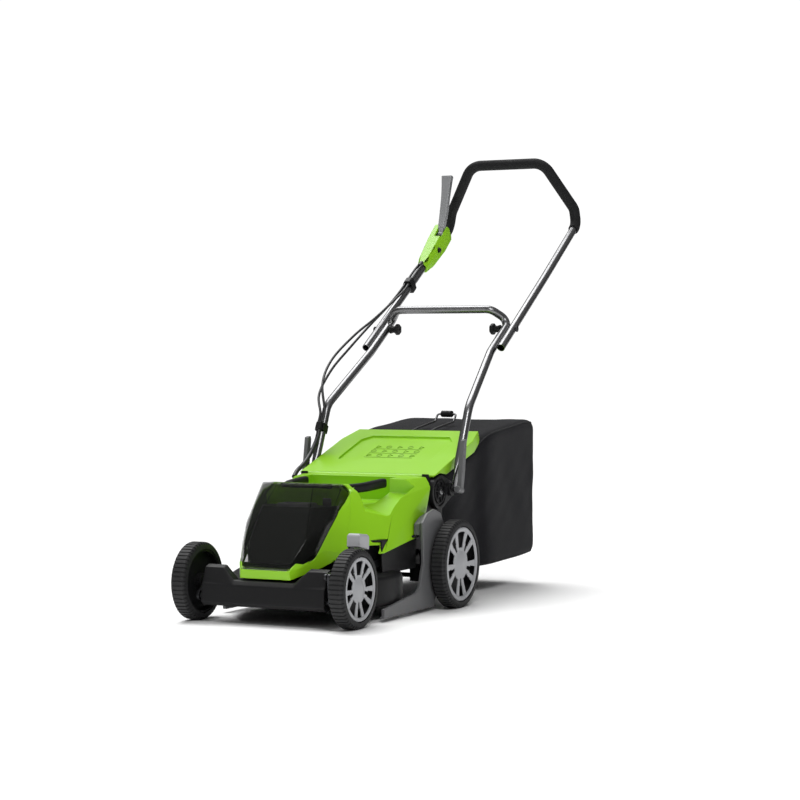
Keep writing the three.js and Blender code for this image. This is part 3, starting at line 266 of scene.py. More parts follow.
def smooth(obj, angle=35):
    """Shades obj smooth except at edges sharper than the angle, with large faces kept flat."""
    choose(obj)
    bpy.ops.object.shade_smooth_by_angle(angle=math.radians(angle))
    return modified(obj, "WEIGHTED_NORMAL", keep_sharp=True)


def dress(obj, material, body, nodes=(), angle=35):
    """Shades a finished mesh, gives it its material and its body, and hides the frame nodes that it stands
    for.
    """
    smooth(obj, angle)
    obj.data.materials.clear()
    obj.data.materials.append(material)
    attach(obj, body)
    if nodes:
        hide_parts(*nodes)
    return obj


def moulding(node, name, merge=0.00002, flat=1.0):
    """A merged copy of a frame node, with its flat faces whole again."""
    choose(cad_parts[node])
    bpy.ops.object.duplicate(linked=False)
    obj = named(name)
    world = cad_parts[node].matrix_world.copy()
    obj.parent = None
    for key in list(obj.keys()):
        del obj[key]
    obj.matrix_world = world
    bpy.ops.object.transform_apply(location=True, rotation=True, scale=True)
    edit(obj)
    bpy.ops.mesh.remove_doubles(threshold=merge)
    bpy.ops.mesh.dissolve_limited(angle_limit=math.radians(flat))
    leave()
    return obj


def turned(name, profile, centre, axis, steps, full=True):
    """A profile of (radius, along) pairs turned round an axis through centre. full closes the solid."""
    count = len(profile)
    choose(None)
    bpy.ops.mesh.primitive_circle_add(vertices=count, radius=0.01, fill_type="NOTHING")
    obj = named(name)
    way = Vector((1, 0, 0)) if axis == "x" else Vector((0, 0, 1))
    out = Vector((0, 0, 1)) if axis == "x" else Vector((1, 0, 0))
    for vertex, (radius, along) in zip(obj.data.vertices, profile):
        vertex.co = centre + way * along + out * radius
    bpy.ops.object.mode_set(mode="EDIT")
    if not full:
        bpy.ops.mesh.select_mode(type="EDGE")
        bpy.ops.mesh.select_all(action="DESELECT")
        leave()
        last = {0, count - 1}
        for edge in obj.data.edges:
            edge.select = set(edge.vertices) == last
        bpy.ops.object.mode_set(mode="EDIT")
        bpy.ops.mesh.delete(type="EDGE")
    bpy.ops.mesh.select_mode(type="VERT")
    bpy.ops.mesh.select_all(action="SELECT")
    bpy.ops.mesh.spin(steps=steps, dupli=False, angle=2 * math.pi, center=centre, axis=way)
    bpy.ops.mesh.select_all(action="SELECT")
    bpy.ops.mesh.remove_doubles(threshold=0.000004)
    bpy.ops.mesh.dissolve_degenerate(threshold=0.000004)
    bpy.ops.mesh.normals_make_consistent(inside=False)
    leave()
    return obj


def cylinder(name, centre, radius, depth, axis="x", sides=32):
    """A round disc or pin added at its size and place."""
    choose(None)
    turn = {"x": (0, math.pi / 2, 0), "y": (math.pi / 2, 0, 0), "z": (0, 0, 0)}[axis]
    bpy.ops.mesh.primitive_cylinder_add(vertices=sides, radius=radius, depth=depth, location=centre,
        rotation=turn)
    obj = named(name)
    bpy.ops.object.transform_apply(location=True, rotation=True, scale=True)
    return obj


def box(name, low, high):
    """A block added at its size and place."""
    choose(None)
    size = Vector(high) - Vector(low)
    bpy.ops.mesh.primitive_cube_add(size=1, location=(Vector(low) + Vector(high)) / 2, scale=size)
    obj = named(name)
    bpy.ops.object.transform_apply(location=True, rotation=True, scale=True)
    return obj


def joined(name, pieces):
    """Several meshes made one."""
    choose(pieces[0])
    for piece in pieces:
        piece.select_set(True)
    bpy.ops.object.join()
    return named(name)


def copied(obj, name, matrix):
    """A copy of obj with its own mesh, moved by the matrix; a mirrored one has its faces turned back."""
    choose(obj)
    bpy.ops.object.duplicate(linked=False)
    copy = named(name)
    for key in list(copy.keys()):
        del copy[key]
    copy.parent = None
    copy.matrix_world = matrix
    bpy.ops.object.transform_apply(location=True, rotation=True, scale=True)
    if matrix.determinant() < 0:
        edit(copy)
        bpy.ops.mesh.normals_make_consistent(inside=False)
        leave()
    return copy


MIRROR = Matrix.Scale(-1, 4, Vector((1, 0, 0)))


def bent(corners, bends, per_turn=14):
    """The points of straight runs joined by round bends."""
    points = [corners[0]]
    for i in range(1, len(corners) - 1):
        before = (corners[i] - corners[i - 1]).normalized()
        after = (corners[i + 1] - corners[i]).normalized()
        turn = before.angle(after)
        if turn < 0.01:
            continue
        radius = bends[i - 1]
        start = corners[i] - before * radius * math.tan(turn / 2)
        inward = (after - before * before.dot(after)).normalized()
        steps = max(3, math.ceil(turn / (math.pi / 2) * per_turn))
        for k in range(steps + 1):
            angle = turn * k / steps
            points.append(start + before * radius * math.sin(angle) + inward * radius * (1 - math.cos(angle)))
    points.append(corners[-1])
    return points


def sides_of(corners):
    """The corners of a handle, from its right foot over the top to its left foot."""
    return corners + [Vector((-p.x, p.y, p.z)) for p in reversed(corners)]


def line_curve(name, points, radius, resolution=6, caps=True):
    """A round tube along points, as a curve."""
    data = bpy.data.curves.new(name, "CURVE")
    data.dimensions = "3D"
    data.bevel_depth = radius
    data.bevel_resolution = resolution
    data.use_fill_caps = caps
    data.twist_mode = "MINIMUM"
    spline = data.splines.new("POLY")
    spline.points.add(len(points) - 1)
    for target, point in zip(spline.points, points):
        target.co = (*point, 1)
    obj = bpy.data.objects.new(name, data)
    bpy.context.scene.collection.objects.link(obj)
    return obj


def pipe(name, points, radius, resolution=6, caps=True):
    """A round tube along points, as a mesh."""
    obj = line_curve(name, points, radius, resolution, caps)
    choose(obj)
    bpy.ops.object.convert(target="MESH")
    obj = named(name)
    if caps:
        closed(obj)
    return obj


def flowing(points, steps):
    """Evenly stepped points on the smooth curve through the given ones."""
    full = [points[0] * 2 - points[1], *points, points[-1] * 2 - points[-2]]
    out = []
    for i in range(1, len(full) - 2):
        p0, p1, p2, p3 = full[i - 1:i + 3]
        t0 = 0.0
        t1 = t0 + max((p1 - p0).length, 1e-6) ** 0.5
        t2 = t1 + max((p2 - p1).length, 1e-6) ** 0.5
        t3 = t2 + max((p3 - p2).length, 1e-6) ** 0.5
        for k in range(steps):
            t = t1 + (t2 - t1) * k / steps
            a1 = p0 * ((t1 - t) / (t1 - t0)) + p1 * ((t - t0) / (t1 - t0))
            a2 = p1 * ((t2 - t) / (t2 - t1)) + p2 * ((t - t1) / (t2 - t1))
            a3 = p2 * ((t3 - t) / (t3 - t2)) + p3 * ((t - t2) / (t3 - t2))
            b1 = a1 * ((t2 - t) / (t2 - t0)) + a2 * ((t - t0) / (t2 - t0))
            b2 = a2 * ((t3 - t) / (t3 - t1)) + a3 * ((t - t1) / (t3 - t1))
            out.append(b1 * ((t2 - t) / (t2 - t1)) + b2 * ((t - t1) / (t2 - t1)))
    out.append(points[-1])
    return out


def net(name, rows, wrapped=False):
    """A grid primitive laid through rows of points, with a UV map in metres. wrapped closes each row."""
    across, along = len(rows[0]), len(rows)
    choose(None)
    bpy.ops.mesh.primitive_grid_add(x_subdivisions=across - 1, y_subdivisions=along - 1, size=1)
    obj = named(name)
    order = sorted(range(len(obj.data.vertices)), key=lambda i: (
        round(obj.data.vertices[i].co.y, 5), round(obj.data.vertices[i].co.x, 5)
    ))
    places = {}
    lengths = {}
    for j, row in enumerate(rows):
        run = 0.0
        for i, point in enumerate(row):
            if i:
                run += (point - row[i - 1]).length
            index = order[j * across + i]
            places[index] = point
            up = lengths[order[(j - 1) * across + i]][1] + (point - rows[j - 1][i]).length if j else 0.0
            lengths[index] = (run, up)
    for vertex in obj.data.vertices:
        vertex.co = places[vertex.index]
    layer = obj.data.uv_layers.active or obj.data.uv_layers.new(name="UVMap")
    for loop in obj.data.loops:
        layer.data[loop.index].uv = lengths[loop.vertex_index]
    if wrapped:
        edit(obj)
        bpy.ops.mesh.remove_doubles(threshold=0.00001)
        leave()
    return obj


# ---------------------------------------------------------------- shader groups


def group_of(name, inputs, outputs):
    """A new shader node group with those sockets, and its input and output nodes."""
    group = bpy.data.node_groups.new(name, "ShaderNodeTree")
    for label, kind, value in inputs:
        socket = group.interface.new_socket(name=label, in_out="INPUT", socket_type=kind)
        socket.default_value = value
    for label, kind in outputs:
        group.interface.new_socket(name=label, in_out="OUTPUT", socket_type=kind)
    return group, group.nodes.new("NodeGroupInput"), group.nodes.new("NodeGroupOutput")


def node(tree, kind, **values):
    """A node with its settings; a key in capitals names an input socket."""
    made = tree.nodes.new("ShaderNode" + kind)
    for key, value in values.items():
        setattr(made, key, value)
    return made


def calc(tree, operation, first, second=None, clamp=False):
    """A maths node fed by sockets or numbers."""
    made = node(tree, "Math", operation=operation, use_clamp=clamp)
    for socket, value in zip(made.inputs, (first, second)):
        if value is None:
            continue
        if isinstance(value, (int, float)):
            socket.default_value = value
        else:
            tree.links.new(value, socket)
    return made.outputs[0]


def blended(tree, factor, first, second, mode="MIX"):
    """A colour mix fed by sockets or colours."""
    made = node(tree, "Mix", data_type="RGBA", blend_type=mode)
    for socket, value in ((made.inputs[0], factor), (made.inputs[6], first), (made.inputs[7], second)):
        if isinstance(value, (int, float)):
            socket.default_value = value
        elif isinstance(value, tuple):
            socket.default_value = value
        else:
            tree.links.new(value, socket)
    return made.outputs[2]


def noise(tree, vector, scale, detail=3.0, roughness=0.55):
    """A noise texture's value."""
    made = node(tree, "TexNoise")
    made.inputs["Detail"].default_value = detail
    made.inputs["Roughness"].default_value = roughness
    if isinstance(scale, (int, float)):
        made.inputs["Scale"].default_value = scale
    else:
        tree.links.new(scale, made.inputs["Scale"])
    tree.links.new(vector, made.inputs["Vector"])
    return made.outputs[0]


def bumped(tree, height, strength, distance):
    """A bump node's normal."""
    made = node(tree, "Bump")
    made.inputs["Distance"].default_value = distance
    if isinstance(strength, (int, float)):
        made.inputs["Strength"].default_value = strength
    else:
        tree.links.new(strength, made.inputs["Strength"])
    tree.links.new(height, made.inputs["Height"])
    return made.outputs[0]


def moulded_surface():
    """Grain, faint mottling, handling marks and paler edges, partly wear and partly a painted highlight, of
    moulded plastic, rubber or paint.
    """
    group, given, result = group_of("Moulded surface", [
        ("Colour", "NodeSocketColor", (0.5, 0.5, 0.5, 1)), ("Grain Scale", "NodeSocketFloat", 900.0),
        ("Grain Depth", "NodeSocketFloat", 0.2), ("Mottle", "NodeSocketFloat", 0.1),
        ("Roughness", "NodeSocketFloat", 0.45), ("Roughness Spread", "NodeSocketFloat", 0.12),
        ("Edge Wear", "NodeSocketFloat", 0.2), ("Dust", "NodeSocketFloat", 0.1),
    ], [("Colour", "NodeSocketColor"), ("Roughness", "NodeSocketFloat"), ("Normal", "NodeSocketVector")])
    where = node(group, "TexCoord").outputs["Object"]
    broad = noise(group, where, 7.0, 4.0)
    marks = noise(group, where, 60.0, 5.0, 0.7)
    grain = noise(group, where, given.outputs["Grain Scale"], 2.0)
    shade = calc(group, "MULTIPLY", calc(group, "SUBTRACT", broad, 0.5), given.outputs["Mottle"])
    dark = calc(group, "ADD", 1.0, calc(group, "MULTIPLY", shade, 2.0))
    tinted = node(group, "HueSaturation")
    group.links.new(given.outputs["Colour"], tinted.inputs["Color"])
    group.links.new(dark, tinted.inputs["Value"])
    # Paler colour on sharp, pointy edges: partly edge wear, partly a painted highlight along the edges.
    worn_and_highlit_edges = node(group, "MapRange")
    group.links.new(node(group, "NewGeometry").outputs["Pointiness"], worn_and_highlit_edges.inputs["Value"])
    worn_and_highlit_edges.inputs["From Min"].default_value = 0.53
    worn_and_highlit_edges.inputs["From Max"].default_value = 0.66
    edge = calc(group, "MULTIPLY", calc(group, "MULTIPLY", worn_and_highlit_edges.outputs[0], marks),
        given.outputs["Edge Wear"], True)
    pale = blended(group, edge, tinted.outputs[0], (0.62, 0.62, 0.60, 1))
    upward = node(group, "SeparateXYZ")
    group.links.new(node(group, "NewGeometry").outputs["Normal"], upward.inputs[0])
    settled = calc(group, "MULTIPLY", calc(group, "MAXIMUM", upward.outputs["Z"], 0.0), marks)
    dusty = calc(group, "MULTIPLY", calc(group, "POWER", settled, 2.0), given.outputs["Dust"], True)
    colour = blended(group, dusty, pale, (0.42, 0.40, 0.36, 1))
    group.links.new(colour, result.inputs["Colour"])
    spread = calc(group, "MULTIPLY", calc(group, "SUBTRACT", marks, 0.5), given.outputs["Roughness Spread"])
    rough = calc(group, "ADD", calc(group, "ADD", given.outputs["Roughness"], spread),
                 calc(group, "MULTIPLY", dusty, 0.6), True)
    group.links.new(rough, result.inputs["Roughness"])
    group.links.new(bumped(group, grain, given.outputs["Grain Depth"], 0.0003), result.inputs["Normal"])
    return group


def drawn_metal():
    """Fine drawing lines, faint stains and a changing gloss of plated or pressed metal."""
    group, given, result = group_of("Drawn metal", [
        ("Colour", "NodeSocketColor", (0.6, 0.6, 0.6, 1)), ("Roughness", "NodeSocketFloat", 0.2),
        ("Line Depth", "NodeSocketFloat", 0.1), ("Stain", "NodeSocketFloat", 0.15),
    ], [("Colour", "NodeSocketColor"), ("Roughness", "NodeSocketFloat"), ("Normal", "NodeSocketVector")])
    where = node(group, "TexCoord").outputs["Object"]
    stretch = node(group, "Mapping")
    stretch.inputs["Scale"].default_value = (1800, 160, 160)
    group.links.new(where, stretch.inputs["Vector"])
    lines = noise(group, stretch.outputs[0], 1.0, 3.0)
    stain = noise(group, where, 28.0, 5.0, 0.65)
    shade = calc(group, "SUBTRACT", 1.0, calc(group, "MULTIPLY", stain, given.outputs["Stain"]))
    tinted = node(group, "HueSaturation")
    group.links.new(given.outputs["Colour"], tinted.inputs["Color"])
    group.links.new(shade, tinted.inputs["Value"])
    group.links.new(tinted.outputs[0], result.inputs["Colour"])
    spread = calc(group, "MULTIPLY", calc(group, "SUBTRACT", stain, 0.4), 0.22)
    streak = calc(group, "MULTIPLY", lines, 0.08)
    rough = calc(group, "ADD", calc(group, "ADD", given.outputs["Roughness"], spread), streak, True)
    group.links.new(rough, result.inputs["Roughness"])
    group.links.new(bumped(group, lines, given.outputs["Line Depth"], 0.0001), result.inputs["Normal"])
    return group


def woven_cloth():
    """Plain weave from crossed threads, on a UV map in metres."""
    group, given, result = group_of("Woven cloth", [
        ("Colour", "NodeSocketColor", (0.02, 0.02, 0.02, 1)), ("Threads", "NodeSocketFloat", 900.0),
        ("Depth", "NodeSocketFloat", 0.5), ("Fade", "NodeSocketFloat", 0.3),
    ], [("Colour", "NodeSocketColor"), ("Roughness", "NodeSocketFloat"), ("Normal", "NodeSocketVector")])
    split = node(group, "SeparateXYZ")
    group.links.new(node(group, "UVMap").outputs[0], split.inputs[0])
    turn = calc(group, "MULTIPLY", given.outputs["Threads"], math.pi)
    across = calc(group, "MULTIPLY", split.outputs[0], turn)
    along = calc(group, "MULTIPLY", split.outputs[1], turn)
    warp = calc(group, "ABSOLUTE", calc(group, "SINE", across))
    weft = calc(group, "ABSOLUTE", calc(group, "SINE", along))
    over = calc(group, "MULTIPLY", calc(group, "COSINE", across), calc(group, "COSINE", along))
    top = calc(group, "GREATER_THAN", over, 0.0)
    first = calc(group, "MULTIPLY", warp, top)
    second = calc(group, "MULTIPLY", weft, calc(group, "SUBTRACT", 1.0, top))
    height = calc(group, "ADD", first, second)
    where = node(group, "TexCoord").outputs["Object"]
    fibre = noise(group, where, 700.0, 3.0)
    broad = noise(group, where, 9.0, 4.0)
    level = calc(group, "ADD", calc(group, "MULTIPLY", height, 0.55),
                 calc(group, "MULTIPLY", calc(group, "SUBTRACT", broad, 0.5), given.outputs["Fade"]))
    tinted = node(group, "HueSaturation")
    group.links.new(given.outputs["Colour"], tinted.inputs["Color"])
    group.links.new(calc(group, "ADD", level, 0.7), tinted.inputs["Value"])
    group.links.new(tinted.outputs[0], result.inputs["Colour"])
    group.links.new(calc(group, "ADD", calc(group, "MULTIPLY", broad, 0.25), 0.62, True),
        result.inputs["Roughness"])
    mixed = calc(group, "ADD", height, calc(group, "MULTIPLY", fibre, 0.4))
    group.links.new(bumped(group, mixed, given.outputs["Depth"], 0.0003), result.inputs["Normal"])
    return group


def foam_cells():
    """Open cells and soft lumps of a foam sleeve."""
    group, given, result = group_of("Foam cells", [
        ("Colour", "NodeSocketColor", (0.01, 0.01, 0.01, 1)), ("Cells", "NodeSocketFloat", 900.0),
        ("Depth", "NodeSocketFloat", 0.5),
    ], [("Colour", "NodeSocketColor"), ("Roughness", "NodeSocketFloat"), ("Normal", "NodeSocketVector")])
    where = node(group, "TexCoord").outputs["Object"]
    cells = node(group, "TexVoronoi", feature="F1")
    group.links.new(where, cells.inputs["Vector"])
    group.links.new(given.outputs["Cells"], cells.inputs["Scale"])
    lumps = noise(group, where, 45.0, 3.0)
    tinted = node(group, "HueSaturation")
    group.links.new(given.outputs["Colour"], tinted.inputs["Color"])
    group.links.new(calc(group, "ADD", calc(group, "MULTIPLY", cells.outputs[0], 0.9), 0.65),
        tinted.inputs["Value"])
    group.links.new(tinted.outputs[0], result.inputs["Colour"])
    group.links.new(calc(group, "ADD", calc(group, "MULTIPLY", lumps, 0.3), 0.6, True),
        result.inputs["Roughness"])
    height = calc(group, "ADD", cells.outputs[0], calc(group, "MULTIPLY", lumps, 1.2))
    group.links.new(bumped(group, height, given.outputs["Depth"], 0.0004), result.inputs["Normal"])
    return group


GROUP_MAKERS = {
    "Moulded surface": moulded_surface,
    "Drawn metal": drawn_metal,
    "Woven cloth": woven_cloth,
    "Foam cells": foam_cells,
}


def surfaced(name, group, values, **shader_values):
    """A material whose shader takes colour, roughness and normal from one of the groups."""
    if name in bpy.data.materials:
        return bpy.data.materials[name]
    material = bpy.data.materials.new(name)
    material.use_nodes = True
    tree = material.node_tree
    shader = tree.nodes["Principled BSDF"]
    made = tree.nodes.new("ShaderNodeGroup")
    made.node_tree = bpy.data.node_groups.get(group) or GROUP_MAKERS[group]()
    for key, value in values.items():
        made.inputs[key].default_value = (*value, 1) if key == "Colour" else value
    for source, target in (("Colour", "Base Color"), ("Roughness", "Roughness"), ("Normal", "Normal")):
        tree.links.new(made.outputs[source], shader.inputs[target])
    for key, value in shader_values.items():
        shader.inputs[key.replace("_", " ").title().replace("Ior", "IOR")].default_value = value
    return material


def lime_plastic():
    return surfaced("lime_moulding", "Moulded surface", {
        "Colour": colours().lime, "Grain Scale": 1500.0, "Grain Depth": 0.05, "Mottle": 0.05,
        "Roughness": 0.28,
        "Roughness Spread": 0.02, "Edge Wear": 0.02, "Dust": 0.0,
    }, specular_ior_level=0.35)


def black_plastic():
    return surfaced("black_moulding", "Moulded surface", {
        "Colour": colours().black, "Grain Scale": 1100.0, "Grain Depth": 0.25, "Mottle": 0.12,
        "Roughness": 0.42,
        "Roughness Spread": 0.14, "Edge Wear": 0.06, "Dust": 0.02,
    }, specular_ior_level=0.16)


def charcoal_plastic():
    return surfaced("charcoal_moulding", "Moulded surface", {
        "Colour": colours().charcoal, "Grain Scale": 1000.0, "Grain Depth": 0.3, "Mottle": 0.10,
        "Roughness": 0.42,
        "Roughness Spread": 0.12, "Edge Wear": 0.08, "Dust": 0.03,
    }, specular_ior_level=0.5)


def grey_plastic():
    return surfaced("grey_moulding", "Moulded surface", {
        "Colour": colours().grey, "Grain Scale": 1300.0, "Grain Depth": 0.12, "Mottle": 0.06,
        "Roughness": 0.36,
        "Roughness Spread": 0.12, "Edge Wear": 0.12, "Dust": 0.03,
    })


def tyre_rubber():
    return surfaced("tyre_rubber", "Moulded surface", {
        "Colour": colours().tyre, "Grain Scale": 800.0, "Grain Depth": 0.45, "Mottle": 0.2, "Roughness": 0.62,
        "Roughness Spread": 0.2, "Edge Wear": 0.06, "Dust": 0.06,
    }, specular_ior_level=0.3)


def cable_rubber():
    return surfaced("cable_rubber", "Moulded surface", {
        "Colour": (0.012, 0.012, 0.013), "Grain Scale": 1400.0, "Grain Depth": 0.2, "Mottle": 0.1,
        "Roughness": 0.42, "Roughness Spread": 0.15, "Edge Wear": 0.0, "Dust": 0.04,
    })


def smoked_plastic():
    return surfaced("smoked_shell", "Moulded surface", {
        "Colour": colours().smoke, "Grain Scale": 900.0, "Grain Depth": 0.01, "Mottle": 0.05,
        "Roughness": 0.10,
        "Roughness Spread": 0.08, "Edge Wear": 0.0, "Dust": 0.0,
    }, alpha=0.42, specular_ior_level=0.5)


def plated_steel():
    return surfaced("plated_steel", "Drawn metal", {
        "Colour": colours().steel, "Roughness": 0.24, "Line Depth": 0.06, "Stain": 0.2,
    }, metallic=1.0)


def dark_steel():
    return surfaced("coated_steel", "Drawn metal", {
        "Colour": (0.045, 0.046, 0.05), "Roughness": 0.34, "Line Depth": 0.15, "Stain": 0.3,
    }, metallic=0.85)


def lever_metal():
    return surfaced("satin_lever_sheet", "Drawn metal", {
        "Colour": (0.40, 0.405, 0.415), "Roughness": 0.42, "Line Depth": 0.1, "Stain": 0.12,
    }, metallic=0.75)


def bag_cloth():
    return surfaced("bag_cloth", "Woven cloth", {
        "Colour": colours().cloth, "Threads": 700.0, "Depth": 0.55, "Fade": 0.5,
    }, sheen_weight=0.04, sheen_roughness=0.5, specular_ior_level=0.12)


def grip_foam():
    return surfaced("grip_foam_cells", "Foam cells", {
        "Colour": colours().foam, "Cells": 1000.0, "Depth": 0.55,
    }, specular_ior_level=0.25)


# ---------------------------------------------------------------- running gear


class MOWER_OT_tyres(bpy.types.Operator):
    """Four ribbed rubber tyres"""

    bl_idname = "mower.tyres"
    bl_label = "Tyres"

    def execute(self, context):
        """Turns one tyre for each axle, cuts its cross grooves and copies it to the other side."""
        for end, line, radius, ribs in (
            ("front", FRONT_LINE, FRONT_TYRE, sizes().front_ribs),
            ("rear", REAR_LINE, REAR_TYRE, sizes().rear_ribs),
        ):
            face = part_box(f"tyre_{end}_right")[1][0]
            seat = radius - 0.014
            half = TYRE_WIDTH / 2
            middle = face - half
            rows = [
                (0.0, 0.0000), (0.0055, 0.0004), (0.0085, 0.0010), (0.0125, 0.0034), (0.0140, 0.0056),
                (0.0140, 0.0120),
            ]
            side = [(seat + rise, half - back) for rise, back in rows]
            profile = side + [(r, -w) for r, w in reversed(side)]
            tyre = turned(f"ribbed_tyre_{end}_right", profile, Vector((middle, line, radius)), "x", ribs * 3)
            step = 2 * math.pi / (ribs * 3)

            def in_groove(centre, normal, line=line, radius=radius, step=step, seat=seat):
                """True on every third step of the tread and its shoulders."""
                y, z = centre.y - line, centre.z - radius
                if math.hypot(y, z) < seat + 0.0088:
                    return False
                turn = math.atan2(y, z) % (2 * math.pi)
                return int(turn / step) % 3 == 0

            pick_faces(tyre, in_groove)
            bpy.ops.mesh.extrude_region_shrink_fatten(
                TRANSFORM_OT_shrink_fatten={"value": -sizes().groove},
            )
            leave()
            for side_name in ("right", "left"):
                piece = tyre if side_name == "right" else copied(tyre, f"ribbed_tyre_{end}_left", MIRROR)
                dress(piece, tyre_rubber(), f"wheel_{end}_{side_name}",
                    (f"tyre_{end}_{side_name}",), 32)
        return {"FINISHED"}


class MOWER_OT_wheels(bpy.types.Operator):
    """Wheel cores and their windowed hub caps"""

    bl_idname = "mower.wheels"
    bl_label = "Wheels and Hub Caps"

    def execute(self, context):
        """Turns the black core and the grey cap, and opens the cap's ten windows."""
        for end, line, radius in (("front", FRONT_LINE, FRONT_TYRE), ("rear", REAR_LINE, REAR_TYRE)):
            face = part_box(f"tyre_{end}_right")[1][0]
            centre = Vector((face, line, radius))
            rim = radius - 0.0145
            core = turned(f"wheel_core_{end}_right", [
                (0.0054, -0.0100), (0.0150, -0.0100), (0.0160, -0.0110), (0.0160, -0.0180),
                (rim - 0.0050, -0.0180),
                (rim - 0.0040, -0.0170), (rim - 0.0035, -0.0085), (rim, -0.0080), (rim, -0.0325),
                (rim - 0.0008, -0.0330), (rim - 0.0040, -0.0330), (rim - 0.0040, -0.0220), (0.0160, -0.0220),
                (0.0160, -0.0350), (0.0054, -0.0350),
            ], centre, "x", 96)
            edge = rim - 0.0008
            cap = turned(f"wheel_trim_{end}_right", [
                (0.0, -0.0010), (edge * 0.07, -0.0011), (edge * 0.15, -0.0017), (edge * 0.24, -0.0028),
                (edge * 0.29, -0.0038), (edge * 0.34, -0.0048), (edge * 0.40, -0.0052),
                (edge * 0.44, -0.0052),
                (edge * 0.60, -0.0048), (edge * 0.74, -0.0042), (edge * 0.82, -0.0038),
                (edge * 0.865, -0.0034),
                (edge * 0.885, -0.0016), (edge * 0.905, -0.0010), (edge * 0.955, -0.0009),
                (edge * 0.985, -0.0014),
                (edge, -0.0030), (edge, -0.0060),
            ], centre, "x", 120, full=False)

            def in_window(place, normal, centre=centre, edge=edge):
                """True inside one of five wide and five narrow windows."""
                y, z = place.y - centre.y, place.z - centre.z
                out = math.hypot(y, z) / edge
                turn = math.degrees(math.atan2(y, z)) % 72
                wide = min(turn, 72 - turn)
                narrow = abs(turn - 36)
                narrow_half = 6.1 if out < 0.62 else 9.1
                return (0.44 < out < 0.865 and wide < 13.6) or (0.40 < out < 0.865 and narrow < narrow_half)

            pick_faces(cap, in_window)
            bpy.ops.mesh.delete(type="FACE")
            leave()
            modified(cap, "SOLIDIFY", thickness=0.0022, offset=-1)
            rounded(cap, 0.0005, 2, 40)
            nodes = {"core": f"wheel_{end}", "cap": f"hub_cap_{end}"}
            for side in ("right", "left"):
                one = core if side == "right" else copied(core, f"wheel_core_{end}_left", MIRROR)
                two = cap if side == "right" else copied(cap, f"wheel_trim_{end}_left", MIRROR)
                body = f"wheel_{end}_{side}"
                dress(one, black_plastic(), body, (f"{nodes['core']}_{side}",))
                dress(two, grey_plastic(), body, (f"{nodes['cap']}_{side}",), 40)
        return {"FINISHED"}


class MOWER_OT_running_gear(bpy.types.Operator):
    """Cranked axles, link rod and the height lever's knob"""

    bl_idname = "mower.running_gear"
    bl_label = "Axles and Height Lever"

    def execute(self, context):
        """Finishes the axles, link and knob with rounded edges."""
        for source, name, body, width in (
            ("front_axle", "front_crank_axle", "front_axle", 0.0006),
            ("rear_axle", "rear_crank_axle", "rear_axle", 0.0006),
            ("link_rod", "height_link", "link", 0.0006),
        ):
            piece = rounded(moulding(source, name), width, 2, 40)
            dress(piece, dark_steel(), body, (source,))
        knob = rounded(moulding("height_knob", "height_lever_knob"), 0.0022, 3, 25)
        dress(knob, grey_plastic(), "front_axle", ("height_knob",))
        return {"FINISHED"}


class MOWER_OT_blade_drive(bpy.types.Operator):
    """Motor, shaft, blade and its carrier"""

    bl_idname = "mower.blade_drive"
    bl_label = "Motor and Blade"

    def execute(self, context):
        """Finishes the driven pieces under the deck."""
        for source, name, body, slot, width, material in (
            ("motor_can", "motor_housing", "deck", "dark_steel", 0.0006, dark_steel()),
            ("motor_shaft", "motor_rotor", "blade_rotor", "steel", 0.0005, plated_steel()),
            ("blade_carrier", "blade_hub", "blade_rotor", "black_plastic", 0.0006, black_plastic()),
            ("blade", "cutting_blade", "blade_rotor", "steel", 0.0004, plated_steel()),
            ("blade_bolt", "blade_fixing", "blade_rotor", "dark_steel", 0.0006, dark_steel()),
        ):
            piece = rounded(moulding(source, name), width, 2, 40)
            dress(piece, material, body, (source,))
        return {"FINISHED"}


# ---------------------------------------------------------------- body mouldings


class MOWER_OT_deck(bpy.types.Operator):
    """Deck, front bumper and side skirts"""

    bl_idname = "mower.deck"
    bl_label = "Deck, Bumper and Skirts"

    def execute(self, context):
        """Finishes the black mouldings round the wheels."""
        deck = rounded(moulding("deck_shell", "deck_moulding"), sizes().edge * 0.6, 2, 30)
        dress(deck, black_plastic(), "deck", ("deck_shell",))
        bumper = rounded(moulding("front_bumper", "bumper_beam"), sizes().edge * 1.3, 3, 18)
        dress(bumper, black_plastic(), "deck", ("front_bumper",))
        for side in ("left", "right"):
            skirt = rounded(moulding(f"side_skirt_{side}", f"skirt_panel_{side}"), sizes().edge * 1.1, 3, 20)
            dress(skirt, charcoal_plastic(), "deck", (f"side_skirt_{side}",))
        return {"FINISHED"}


class MOWER_OT_cowl(bpy.types.Operator):
    """Lime cowl with its screws and the carry handle"""

    bl_idname = "mower.cowl"
    bl_label = "Cowl and Carry Handle"

    def execute(self, context):
        """Finishes the cowl and the carry handle over its pocket with rounded edges."""
        cowl = rounded(moulding("cowl", "cowl_moulding", flat=2.0), sizes().edge, 3, 16)
        dress(cowl, lime_plastic(), "deck", ("cowl",), 30)
        handle = rounded(moulding("carry_handle", "carry_bar"), 0.004, 4, 20)
        dress(handle, black_plastic(), "deck", ("carry_handle",), 50)
        return {"FINISHED"}


class MOWER_OT_hood(bpy.types.Operator):
    """Smoked battery hood, the bay under it, the battery and the key"""

    bl_idname = "mower.hood"
    bl_label = "Hood and Battery"

    def execute(self, context):
        """Finishes the hood as a clear shell and everything that shows through it."""
        hood = rounded(moulding("hood", "battery_hood", flat=2.0), sizes().edge * 1.2, 3, 12)
        dress(hood, smoked_plastic(), "hood", ("hood",), 30)
        bay = rounded(moulding("battery_bay", "battery_well"), sizes().edge * 0.7, 2, 25)
        dress(bay, black_plastic(), "deck", ("battery_bay",))
        pack = rounded(moulding("battery_pack", "battery_case"), 0.0014, 3, 30)
        dress(pack, charcoal_plastic(), "battery", ("battery_pack",))
        key = rounded(moulding("safety_key", "isolator_key"), 0.0010, 3, 30)
        dress(key, charcoal_plastic(), "key", ("safety_key",))
        return {"FINISHED"}


